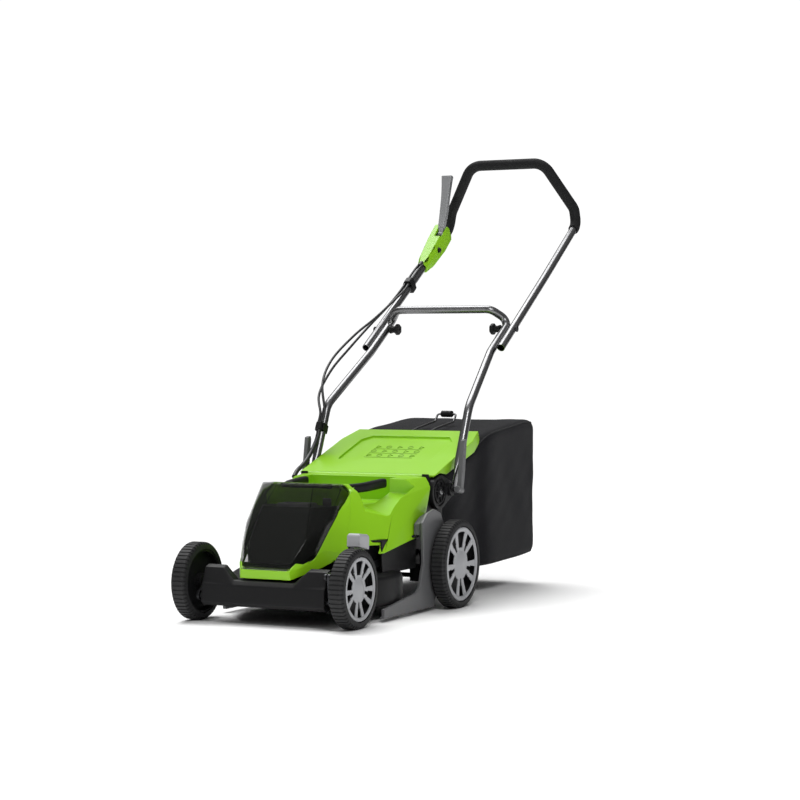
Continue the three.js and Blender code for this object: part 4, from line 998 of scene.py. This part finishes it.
class MOWER_OT_flap(bpy.types.Operator):
    """Rear flap with its pressed marks"""

    bl_idname = "mower.flap"
    bl_label = "Rear Flap"

    def execute(self, context):
        """Finishes the flap and adds rows of plain raised marks in its panel."""
        flap = rounded(moulding("rear_flap", "discharge_flap"), sizes().edge, 3, 20)
        dress(flap, lime_plastic(), "flap", ("rear_flap",), 30)
        slope = math.radians(18.4)
        along = Vector((0, math.cos(slope), math.sin(slope)))
        out = Vector((0, -math.sin(slope), math.cos(slope)))
        turn = Matrix((Vector((1, 0, 0)), along, out)).transposed().to_4x4()
        start = at(0, -0.012, 0.284)
        marks = []
        for row, reach in enumerate((0.176, 0.150, 0.124)):
            for column in range(5):
                x = (column - 2) * 0.027
                choose(None)
                place = Matrix.Translation(start + along * reach + out * -0.0046 + Vector((x, 0, 0))) @ turn
                if (row + column) % 2:
                    bpy.ops.mesh.primitive_torus_add(
                        major_radius=0.0062, minor_radius=0.0006, major_segments=28, minor_segments=6,
                    )
                else:
                    bpy.ops.mesh.primitive_torus_add(
                        major_radius=0.0070, minor_radius=0.0006, major_segments=3, minor_segments=6,
                    )
                ring = named("mark")
                ring.matrix_world = place
                bpy.ops.object.transform_apply(location=True, rotation=True, scale=True)
                marks.append(ring)
            bar = box("mark", (-0.060, -0.0004, -0.0004), (0.060, 0.0004, 0.0004))
            bar.matrix_world = Matrix.Translation(start + along * (reach - 0.0125) + out * -0.0047) @ turn
            bpy.ops.object.transform_apply(location=True, rotation=True, scale=True)
            marks.append(bar)
        relief = joined("flap_raised_marks", marks)
        dress(relief, mark_ink(), "flap")
        return {"FINISHED"}


def mark_ink():
    """A darker lime for the small raised marks."""
    return surfaced("lime_marks", "Moulded surface", {
        "Colour": tuple(channel * 0.45 for channel in colours().lime), "Grain Scale": 1500.0,
        "Grain Depth": 0.05,
        "Mottle": 0.05, "Roughness": 0.4, "Roughness Spread": 0.1, "Edge Wear": 0.05, "Dust": 0.0,
    })


# ---------------------------------------------------------------- handle


class MOWER_OT_brackets(bpy.types.Operator):
    """Round handle brackets, their bolts and the clamp levers"""

    bl_idname = "mower.brackets"
    bl_label = "Brackets and Clamp Levers"

    def execute(self, context):
        """Finishes both brackets and adds the ribs and screws on their faces."""
        boss = at(0, 0.014, 0.247)
        for side, sign in (("left", -1), ("right", 1)):
            plate = rounded(moulding(f"handle_bracket_{side}", f"bracket_plate_{side}"), 0.0012, 3, 35)
            dress(plate, black_plastic(), "deck", (f"handle_bracket_{side}",))
            details = []
            ring = turned("ring", [
                (0.0225, 0.1652), (0.0255, 0.1652), (0.0250, 0.1682), (0.0230, 0.1682),
            ], Vector((0, boss.y, boss.z)), "x", 64)
            details.append(ring)
            for k in range(6):
                rib = box("rib", (0.1652, -0.0009, 0.0105), (0.1681, 0.0009, 0.0235))
                rib.matrix_world = Matrix.Translation(boss) @ Matrix.Rotation(math.radians(60 * k + 20), 4,
                    "X")
                bpy.ops.object.transform_apply(location=True, rotation=True, scale=True)
                details.append(rib)
            details.append(cylinder("hub", (0.1665, boss.y, boss.z), 0.0105, 0.0032, "x", 40))
            face = rounded(joined(f"bracket_face_{side}", details), 0.0005, 2, 35)
            if sign < 0:
                face = swapped(face)
            dress(face, black_plastic(), "deck")
            screw = turned(f"bracket_screw_{side}", [
                (0.0, 0.1715), (0.0022, 0.1715), (0.0024, 0.1727), (0.0052, 0.1722), (0.0062, 0.1708),
                (0.0062, 0.1685), (0.0, 0.1685),
            ], Vector((0, boss.y, boss.z)), "x", 40)
            if sign < 0:
                screw = swapped(screw)
            dress(screw, plated_steel(), "deck")
            bolt = rounded(moulding(f"pivot_bolt_{side}", f"pivot_stud_{side}"), 0.0004, 2, 40)
            dress(bolt, plated_steel(), "deck", (f"pivot_bolt_{side}",))
            lever = rounded(moulding(f"cam_lever_{side}", f"clamp_lever_{side}"), 0.0016, 3, 28)
            dress(lever, charcoal_plastic(), f"cam_lever_{side}", (f"cam_lever_{side}",))
            webs = []
            for reach in (0.040, 0.056, 0.072, 0.088):
                y = PIVOT.y + reach * 0.149
                z = PIVOT.z + reach * 0.989
                webs.append(box("web", (0.1985, y - 0.0055, z - 0.0010), (0.2000, y + 0.0055, z + 0.0010)))
            ribs = rounded(joined(f"clamp_lever_ribs_{side}", webs), 0.0004, 2, 35)
            if sign < 0:
                ribs = swapped(ribs)
            dress(ribs, charcoal_plastic(), f"cam_lever_{side}")
        return {"FINISHED"}


def swapped(obj):
    """obj turned over to the other side of the middle plane."""
    name = obj.name
    choose(obj)
    obj.matrix_world = MIRROR @ obj.matrix_world
    bpy.ops.object.transform_apply(location=True, rotation=True, scale=True)
    edit(obj)
    bpy.ops.mesh.normals_make_consistent(inside=False)
    leave()
    obj.name = name
    return obj


LOWER_CORNERS = [
    at(LOWER_FOOT_X, 0.060, 0.246), at(LOWER_FOOT_X, 0.142, 0.430), at(LOWER_TOP_X, 0.312, 0.550),
    at(LOWER_TOP_X, 0.421, 0.6216), at(0.122, 0.386, 0.650),
]
LOWER_BENDS = [0.060, 0.120, 0.020, 0.026, 0.026, 0.020, 0.120, 0.060]
UPPER_CORNERS = [
    at(UPPER_X, 0.326, 0.560), at(UPPER_X, 0.594, 0.734), at(UPPER_X, 0.790, 0.866), at(0.168, 0.792, 0.906),
    at(0.098, 0.759, 1.020),
]
UPPER_BENDS = [0.600, 0.036, 0.034, 0.046, 0.046, 0.034, 0.036, 0.600]


class MOWER_OT_tubes(bpy.types.Operator):
    """Lower and upper handle tubes"""

    bl_idname = "mower.tubes"
    bl_label = "Handle Tubes"

    def execute(self, context):
        """Bends both tubes and presses the lower one's feet flat at the pivots."""
        line = bent(sides_of(LOWER_CORNERS), LOWER_BENDS)
        foot = []
        for k in range(1, 12):
            foot.append(line[0].lerp(line[1], k / 12))
        foot_left = [Vector((-p.x, p.y, p.z)) for p in reversed(foot)]
        line = [line[0], *foot, *line[1:-1], *foot_left, line[-1]]
        lower = pipe("lower_handle_tube", line, sizes().tube, 7)
        way = (LOWER_CORNERS[1] - LOWER_CORNERS[0]).normalized()
        across = Vector((0, -way.z, way.y))
        for vertex in lower.data.vertices:
            sign = 1 if vertex.co.x > 0 else -1
            offset = vertex.co - LOWER_CORNERS[0]
            reach = Vector((0, offset.y, offset.z)).dot(Vector((0, way.y, way.z)))
            if vertex.co.z > LOWER_CORNERS[1].z or reach > 0.075:
                continue
            press = 1 - min(max((reach - 0.030) / 0.042, 0.0), 1.0)
            press = press * press * (3 - 2 * press)
            middle = sign * LOWER_FOOT_X
            vertex.co.x = middle + (vertex.co.x - middle) * (1 - press * 0.74)
            side = Vector((0, offset.y, offset.z)).dot(across)
            vertex.co += across * side * press * 0.16
        dress(lower, plated_steel(), "lower_handle", ("lower_tube",), 45)
        upper = pipe("upper_handle_tube", bent(sides_of(UPPER_CORNERS), UPPER_BENDS), sizes().tube, 7,
            caps=False)
        edit(upper)
        bpy.ops.mesh.normals_make_consistent(inside=False)
        leave()
        modified(upper, "SOLIDIFY", thickness=0.0013, offset=-1)
        dress(upper, plated_steel(), "upper_handle", ("upper_tube",), 45)
        return {"FINISHED"}


class MOWER_OT_grip(bpy.types.Operator):
    """Foam grip over the handle's top"""

    bl_idname = "mower.grip"
    bl_label = "Foam Grip"

    def execute(self, context):
        """Draws the foam sleeve along the top of the upper tube, with soft ends."""
        start = UPPER_CORNERS[2].lerp(UPPER_CORNERS[1], 0.1)
        corners = [start, *UPPER_CORNERS[2:]]
        line = bent(sides_of(corners), [0.036, 0.034, 0.046, 0.046, 0.034, 0.036], 18)
        radius = sizes().grip
        grip = pipe("foam_sleeve", line, radius, 9)
        rounded(grip, 0.0022, 4, 60)
        dress(grip, grip_foam(), "upper_handle", ("grip_foam",), 60)
        return {"FINISHED"}


class MOWER_OT_switch(bpy.types.Operator):
    """Switch box, lock button, gland and bail lever"""

    bl_idname = "mower.switch"
    bl_label = "Switch Box and Bail"

    def execute(self, context):
        """Finishes the box with its seam and screw, and bends the channel-shaped bail."""
        case = rounded(moulding("switch_box", "switch_case", flat=3.0), 0.0018, 3, 22)
        dress(case, lime_plastic(), "upper_handle", ("switch_box",), 32)
        gland = pipe("cable_gland", [
            on_tube(-UPPER_X, 0.006, 0.0128), on_tube(-UPPER_X, -0.001, 0.0128),
            on_tube(-UPPER_X, -0.010, 0.0135),
        ], 0.0062, 5)
        rounded(gland, 0.0009, 2, 50)
        dress(gland, cable_rubber(), "upper_handle")
        screw = cylinder("switch_screw", on_tube(-UPPER_X + 0.0213, 0.100, 0.006), 0.0026, 0.0012, "x", 24)
        rounded(screw, 0.0003, 2, 40)
        dress(screw, black_plastic(), "upper_handle")
        button = turned("lock_push_button", [
            (0.0, -0.1480), (0.0036, -0.1482), (0.0050, -0.1488), (0.0058, -0.1500), (0.0060, -0.1515),
            (0.0060, -0.1610), (0.0, -0.1610),
        ], Vector((0, on_tube(0, 0.070, 0.010).y, on_tube(0, 0.070, 0.010).z)), "x", 40)
        dress(button, black_plastic(), "lock_button", ("lock_button",))
        rows = []
        knots = [(0.0074, 0.7205, 0.8645), (0.0086, 0.7235, 0.8730), (0.0104, 0.7350, 0.9050),
                 (0.0112, 0.7460, 0.9500), (0.0130, 0.7520, 0.9790), (0.0149, 0.7560, 0.9990)]
        spine = flowing([Vector(knot) for knot in knots], 8)
        bail_x = -0.166
        for half, y, z in spine:
            row = []
            for k in range(13):
                u = (k - 6) / 6
                x = bail_x + half * max(-1.0, min(1.0, u * 1.75))
                depth = 0.0105 * max(0.0, (abs(u) - 0.57) / 0.43)
                row.append(at(x, y + depth, z - depth * 0.33))
            rows.append(row)
        bail = net("bail_channel", rows)
        modified(bail, "SOLIDIFY", thickness=0.0018, offset=-1)
        closed(bail)
        rounded(bail, 0.0006, 2, 40)
        pivot = on_tube(bail_x, 0.128, 0.022)
        foot = cylinder("foot", pivot, 0.0068, 0.0128, "x", 32)
        pin = cylinder("foot", pivot + Vector((-0.003, 0, 0)), 0.0024, 0.0230, "x", 20)
        neck = box("foot", at(bail_x - 0.0064, 0.7215, 0.8500), at(bail_x + 0.0064, 0.7325, 0.8700))
        handle = joined("bail_channel_lever",
            [bail, rounded(foot, 0.0008, 2, 40), pin, rounded(neck, 0.0015, 2, 40)])
        dress(handle, lever_metal(), "bail", ("bail_lever",), 40)
        return {"FINISHED"}


class MOWER_OT_clamps(bpy.types.Operator):
    """Clamp bolts and knobs where the two tubes meet"""

    bl_idname = "mower.clamps"
    bl_label = "Clamp Knobs"

    def execute(self, context):
        """Turns the bolts' heads and the lobed knobs."""
        for side, sign in (("left", -1), ("right", 1)):
            bolt = turned(f"clamp_stud_{side}", [
                (0.0, 0.1280), (0.0028, 0.1280), (0.0032, 0.1284), (0.0032, 0.1838), (0.0072, 0.1838),
                (0.0074, 0.1850), (0.0066, 0.1864), (0.0045, 0.1869), (0.0, 0.1870),
            ], CLAMP, "x", 40)
            if sign < 0:
                bolt = swapped(bolt)
            dress(bolt, dark_steel(), "upper_handle", (f"clamp_bolt_{side}",))
            knob = turned(f"clamp_wing_knob_{side}", [
                (0.0035, 0.1190), (0.0110, 0.1190), (0.0122, 0.1196), (0.0132, 0.1215), (0.0134, 0.1250),
                (0.0132, 0.1275), (0.0118, 0.1290), (0.0088, 0.1305), (0.0080, 0.1325), (0.0080, 0.1370),
                (0.0092, 0.1395), (0.0098, 0.1434), (0.0035, 0.1437),
            ], CLAMP, "x", 72)
            for vertex in knob.data.vertices:
                y, z = vertex.co.y - CLAMP.y, vertex.co.z - CLAMP.z
                if vertex.co.x < 0.130 and math.hypot(y, z) > 0.009:
                    lobe = 1 - 0.10 * (0.5 - 0.5 * math.cos(6 * math.atan2(y, z)))
                    vertex.co.y = CLAMP.y + y * lobe
                    vertex.co.z = CLAMP.z + z * lobe
            if sign < 0:
                knob = swapped(knob)
            dress(knob, black_plastic(), f"clamp_knob_{side}", (f"clamp_knob_{side}",))
        return {"FINISHED"}


# ---------------------------------------------------------------- grass bag

BAG_STATIONS = [
    (0.074, 0.122, 0.100, 0.262, 0.012), (0.096, 0.132, 0.084, 0.284, 0.014),
    (0.150, 0.146, 0.068, 0.300, 0.018),
    (0.250, 0.148, 0.062, 0.338, 0.020), (0.285, 0.164, 0.062, 0.365, 0.020),
    (0.400, 0.165, 0.064, 0.380, 0.020),
    (0.520, 0.164, 0.068, 0.390, 0.020), (0.546, 0.162, 0.072, 0.386, 0.020),
    (0.556, 0.142, 0.092, 0.366, 0.016),
]


def bag_ring(y, half, low, high, corner, slack):
    """One ring of the bag: a rounded rectangle whose sides sink in a little where nothing holds them."""
    points = []
    centres = [(half - corner, high - corner), (-half + corner, high - corner),
               (-half + corner, low + corner), (half - corner, low + corner)]
    for i, (cx, cz) in enumerate(centres):
        for k in range(7):
            angle = math.pi / 2 * (i + k / 6)
            points.append(Vector((cx + corner * math.cos(angle), y, cz + corner * math.sin(angle))))
        nx, nz = centres[(i + 1) % 4]
        angle = math.pi / 2 * (i + 1)
        first = Vector((cx + corner * math.cos(angle), y, cz + corner * math.sin(angle)))
        last = Vector((nx + corner * math.cos(angle), y, nz + corner * math.sin(angle)))
        inward = Vector((-math.cos(angle), 0, -math.sin(angle)))
        for k in range(1, 15):
            t = k / 15
            fold = 0.0011 * math.sin(9 * t + 55 * y + i * 2.1) + 0.0008 * math.sin(23 * t - 80 * y + i)
            dip = slack * (4 * t * (1 - t)) ** 1.3
            points.append(first.lerp(last, t) + inward * (dip + fold * 4 * t * (1 - t)))
    points.append(points[0].copy())
    return points


class MOWER_OT_bag(bpy.types.Operator):
    """Grass bag of woven cloth with its frame, wire and grip"""

    bl_idname = "mower.bag"
    bl_label = "Grass Bag"

    def execute(self, context):
        """Lofts the bag through its rings, closes its back and sews piping along the edges."""
        rings = []
        knots = [Vector(station[:3]) for station in BAG_STATIONS]
        extra = [Vector((station[0], station[3], station[4])) for station in BAG_STATIONS]
        places = flowing(knots, 6)
        others = flowing(extra, 6)
        reach = BAG_STATIONS[-1][0] - BAG_STATIONS[0][0]
        for one, two in zip(places, others):
            y = one.x
            held = (y - BAG_STATIONS[0][0]) / reach
            slack = 0.0052 * math.sin(math.pi * min(max(held, 0.0), 1.0)) ** 0.7
            ring = bag_ring(y, one.y, one.z, two.y, max(two.z, 0.010), slack)
            rings.append([p + Vector((0, REAR_LINE, 0)) for p in ring])
        last = rings[-1]
        middle = sum(last[:-1], Vector()) / (len(last) - 1)
        for share in (0.9, 0.78, 0.6, 0.4, 0.2, 0.04):
            bulge = 0.0030 * (1 - share ** 2)
            rings.append([middle + (p - middle) * share + Vector((0, 0.001 + bulge, 0)) for p in last])
        bag = net("bag_cloth_sack", rings, wrapped=True)
        edit(bag)
        bpy.ops.mesh.normals_make_consistent(inside=False)
        leave()
        modified(bag, "SUBSURF", levels=1, render_levels=1)
        modified(bag, "SOLIDIFY", thickness=sizes().cloth, offset=-1)
        dress(bag, bag_cloth(), "bag", ("bag_fabric",), 60)
        around = [p + Vector((0, 0.0, 0)) for p in last[:-1]]
        rear = [middle + (p - middle) * 1.006 for p in around]
        seams = [pipe("seam", rear + [rear[0]], sizes().piping, 3)]
        per_side = 21
        for i in range(4):
            run = [ring[i * per_side + 3] for ring in rings[14:len(rings) - 6]]
            seams.append(pipe("seam", run, sizes().piping * 0.8, 3))
        mouth = [p for p in rings[2][:-1]]
        seams.append(pipe("seam", mouth + [mouth[0]], sizes().piping * 1.2, 3))
        piping = joined("bag_piping", seams)
        dress(piping, bag_trim(), "bag", (), 60)
        surround = rounded(moulding("bag_frame", "bag_mouth_frame"), 0.0012, 2, 35)
        dress(surround, black_plastic(), "bag", ("bag_frame",))
        wire = [
            at(-0.024, 0.258, 0.366), at(-0.024, 0.296, 0.374), at(-0.024, 0.392, 0.387),
            at(-0.024, 0.407, 0.404),
            at(0.024, 0.407, 0.404), at(0.024, 0.392, 0.387), at(0.024, 0.296, 0.374),
            at(0.024, 0.258, 0.366),
        ]
        bow = pipe("bag_carry_wire", bent(wire, [0.040, 0.014, 0.006, 0.006, 0.014, 0.040], 12), 0.0025, 4)
        dress(bow, plated_steel(), "bag", ("bag_wire",), 60)
        hand = at(0, 0.407, 0.404)
        profile = [(0.0031, -0.0150)]
        for k in range(-6, 7):
            swell = 0.0074 + (0.0006 if k % 2 else 0.0)
            profile.append((swell if abs(k) < 6 else 0.0062, k * 0.00242))
        profile.append((0.0031, 0.0150))
        grip = turned("bag_carry_grip", profile, hand, "x", 48)
        dress(grip, black_plastic(), "bag", ("bag_grip",), 50)
        return {"FINISHED"}


def bag_trim():
    """The bag's sewn edging: tight ribbed tape."""
    return surfaced("bag_trim_tape", "Foam cells", {
        "Colour": tuple(channel * 0.8 for channel in colours().cloth), "Cells": 1500.0, "Depth": 0.4,
    })


# ---------------------------------------------------------------- cables


def clip_end(x, along):
    """Where a cable enters the upper clip."""
    return on_tube(-UPPER_X + x, -0.085 + along, 0.015)


def low_end(x, along):
    """Where a cable enters the lower clip."""
    point = LOWER_CLIP + LOWER_WAY * along + LOWER_NORMAL * 0.015
    return Vector((-LOWER_FOOT_X + x, point.y, point.z))


def routes():
    """Each cable's name, route, radius, body, far body and the points between which it bends."""
    cable, sleeve = sizes().cable, sizes().sleeve
    made = []
    for x, tag in ((-0.005, "outer"), (0.005, "inner")):
        made.append((
            f"cable_{tag}_upper", [
                on_tube(-UPPER_X + x, -0.001, 0.0125), on_tube(-UPPER_X + x, -0.030, 0.015),
                clip_end(x, 0.0105),
            ], cable, "upper_handle", None,
        ))
    fold = (at(-0.19, 0.330, 0.560), at(-0.19, 0.500, 0.680))
    made.append(("cable_outer_middle", [
        clip_end(-0.005, -0.010), clip_end(-0.005, -0.040), at(-0.186, 0.470, 0.664),
        at(-0.196, 0.384, 0.612),
        at(-0.204, 0.300, 0.560), at(-0.210, 0.215, 0.505), at(-0.205, 0.150, 0.450), low_end(-0.005, 0.030),
        low_end(-0.005, 0.010),
    ], cable, "lower_handle", ("lower_handle", "upper_handle", *fold)))
    made.append(("cable_inner_middle", [
        clip_end(0.005, -0.010), clip_end(0.005, -0.040), at(-0.170, 0.485, 0.684), at(-0.182, 0.395, 0.634),
        at(-0.202, 0.320, 0.590), at(-0.216, 0.230, 0.530), at(-0.200, 0.158, 0.476), low_end(0.005, 0.034),
        low_end(0.005, 0.010),
    ], cable, "lower_handle", ("lower_handle", "upper_handle", *fold)))
    made.append(("cable_sleeve_lower", [
        low_end(0, -0.0095), low_end(0, -0.030), at(-0.178, 0.062, 0.322), at(-0.176, 0.024, 0.299),
        at(-0.174, -0.008, 0.286), at(-0.168, -0.034, 0.274),
    ], sleeve, "deck", ("deck", "lower_handle", at(-0.17, 0.000, 0.283), at(-0.17, 0.085, 0.345))))
    return made


class MOWER_OT_cables(bpy.types.Operator):
    """Control cables, their sleeve and clips"""

    bl_idname = "mower.cables"
    bl_label = "Cables and Clips"

    def execute(self, context):
        """Runs each cable along its route; a cable that crosses the fold is left in place without a body."""
        for source, points, radius, body, bend in routes():
            path = flowing(points, 8)
            name = source.replace("cable_", "control_cable_")
            piece = pipe(name, path, radius, 4)
            smooth(piece, 60)
            piece.data.materials.clear()
            piece.data.materials.append(cable_rubber())
            if bend is None:
                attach(piece, body)
            else:
                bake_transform(piece)
            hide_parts(source)
        for source, body in (("cable_clip_upper", "upper_handle"), ("cable_clip_lower", "lower_handle")):
            clip = rounded(moulding(source, source.replace("cable_clip", "tube_clip")), 0.0010, 2, 28)
            dress(clip, black_plastic(), body, (source,))
        return {"FINISHED"}


# ---------------------------------------------------------------- studio


class MOWER_OT_studio(bpy.types.Operator):
    """Pale floor, soft lights and the camera"""

    bl_idname = "mower.studio"
    bl_label = "Studio"

    def execute(self, context):
        """Lays the floor, sets one broad lamp and two soft ones, and the camera at the front right."""
        choose(None)
        bpy.ops.mesh.primitive_plane_add(size=30, location=(0, 0, 0))
        floor = named("studio_floor")
        pale = bpy.data.materials.new("studio_white")
        pale.use_nodes = True
        shader = pale.node_tree.nodes["Principled BSDF"]
        shader.inputs["Base Color"].default_value = (0.97, 0.97, 0.97, 1)
        shader.inputs["Roughness"].default_value = 0.7
        shader.inputs["Specular IOR Level"].default_value = 0.1
        floor.data.materials.append(pale)
        for name, place, aim, power, width in (
            ("side_light", (1.7, -2.3, 2.6), (0, -0.3, 0.2), 42, 1.0),
            ("front_light", (-1.6, -3.2, 1.8), (0, -0.1, 0.3), 5, 1.2),
        ):
            data = bpy.data.lights.new(name, "AREA")
            data.energy = power
            data.size = width
            lamp = bpy.data.objects.new(name, data)
            context.scene.collection.objects.link(lamp)
            lamp.location = place
            lamp.rotation_mode = "QUATERNION"
            lamp.rotation_quaternion = (Vector(aim) - Vector(place)).to_track_quat("-Z", "Y")
        data = bpy.data.lights.new("broad_light", "SUN")
        data.energy = 3.1
        data.angle = math.radians(50)
        lamp = bpy.data.objects.new("broad_light", data)
        context.scene.collection.objects.link(lamp)
        lamp.rotation_mode = "QUATERNION"
        lamp.rotation_quaternion = Vector((0.42, -0.22, -1.0)).to_track_quat("-Z", "Y")
        world = bpy.data.worlds.new("studio_air")
        world.use_nodes = True
        tree = world.node_tree
        back = tree.nodes["Background"]
        shown = tree.nodes.new("ShaderNodeBackground")
        shown.inputs["Color"].default_value = (1, 1, 1, 1)
        shown.inputs["Strength"].default_value = 1.05
        ramp = tree.nodes.new("ShaderNodeValToRGB")
        ramp.color_ramp.elements[0].position = 0.46
        ramp.color_ramp.elements[0].color = (0.05, 0.05, 0.05, 1)
        ramp.color_ramp.elements[1].position = 0.85
        ramp.color_ramp.elements[1].color = (1, 1, 1, 1)
        split = tree.nodes.new("ShaderNodeSeparateXYZ")
        where = tree.nodes.new("ShaderNodeTexCoord")
        half = tree.nodes.new("ShaderNodeMath")
        half.operation = "MULTIPLY_ADD"
        half.inputs[1].default_value = 0.5
        half.inputs[2].default_value = 0.5
        tree.links.new(where.outputs["Generated"], split.inputs[0])
        tree.links.new(split.outputs["Z"], half.inputs[0])
        tree.links.new(half.outputs[0], ramp.inputs[0])
        tree.links.new(ramp.outputs[0], back.inputs["Color"])
        back.inputs["Strength"].default_value = 0.30
        light_path = tree.nodes.new("ShaderNodeLightPath")
        choice = tree.nodes.new("ShaderNodeMixShader")
        tree.links.new(light_path.outputs["Is Camera Ray"], choice.inputs[0])
        tree.links.new(back.outputs[0], choice.inputs[1])
        tree.links.new(shown.outputs[0], choice.inputs[2])
        tree.links.new(choice.outputs[0], tree.nodes["World Output"].inputs["Surface"])
        context.scene.world = world
        data = bpy.data.cameras.new("studio_camera")
        data.lens = 95.67
        data.sensor_width = 36
        camera = bpy.data.objects.new("studio_camera", data)
        context.scene.collection.objects.link(camera)
        camera.location = at(2.1376, -4.1450, 0.5508)
        camera.rotation_mode = "QUATERNION"
        camera.rotation_quaternion = Vector((-0.44490, 0.89530, -0.02264)).to_track_quat("-Z", "Y")
        context.scene.camera = camera
        context.scene.view_settings.view_transform = "Standard"
        return {"FINISHED"}


# ---------------------------------------------------------------- panel and run

MAKERS = (
    MOWER_OT_studio, MOWER_OT_cables, MOWER_OT_tyres, MOWER_OT_wheels, MOWER_OT_running_gear,
    MOWER_OT_blade_drive,
    MOWER_OT_deck, MOWER_OT_cowl, MOWER_OT_hood, MOWER_OT_flap, MOWER_OT_brackets, MOWER_OT_tubes,
    MOWER_OT_grip,
    MOWER_OT_switch, MOWER_OT_clamps, MOWER_OT_bag,
)


class MOWER_PT_panel(bpy.types.Panel):
    """The mower's sizes, colours and pieces"""

    bl_label = "Push Mower"
    bl_idname = "MOWER_PT_panel"
    bl_space_type = "VIEW_3D"
    bl_region_type = "UI"
    bl_category = "Mower"

    def draw(self, context):
        """Lists the settings, then one button for each group of pieces."""
        layout = self.layout
        for settings in (context.scene.mower_sizes, context.scene.mower_colours):
            column = layout.column(align=True)
            for key in settings.__annotations__:
                column.prop(settings, key)
        column = layout.column(align=True)
        for maker in MAKERS:
            column.operator(maker.bl_idname)


CLASSES = (MowerColours, MowerSizes, *MAKERS, MOWER_PT_panel)


def register():
    """Adds the classes and the scene's settings."""
    for one in CLASSES:
        bpy.utils.register_class(one)
    bpy.types.Scene.mower_colours = PointerProperty(type=MowerColours)
    bpy.types.Scene.mower_sizes = PointerProperty(type=MowerSizes)


def unregister():
    """Takes the settings and classes away again."""
    del bpy.types.Scene.mower_sizes
    del bpy.types.Scene.mower_colours
    for one in reversed(CLASSES):
        bpy.utils.unregister_class(one)


def main():
    """Builds every piece in order."""
    register()
    for maker in MAKERS:
        group, call = maker.bl_idname.split(".")
        getattr(getattr(bpy.ops, group), call)()
    choose(None)


if __name__ == "__main__":
    main()
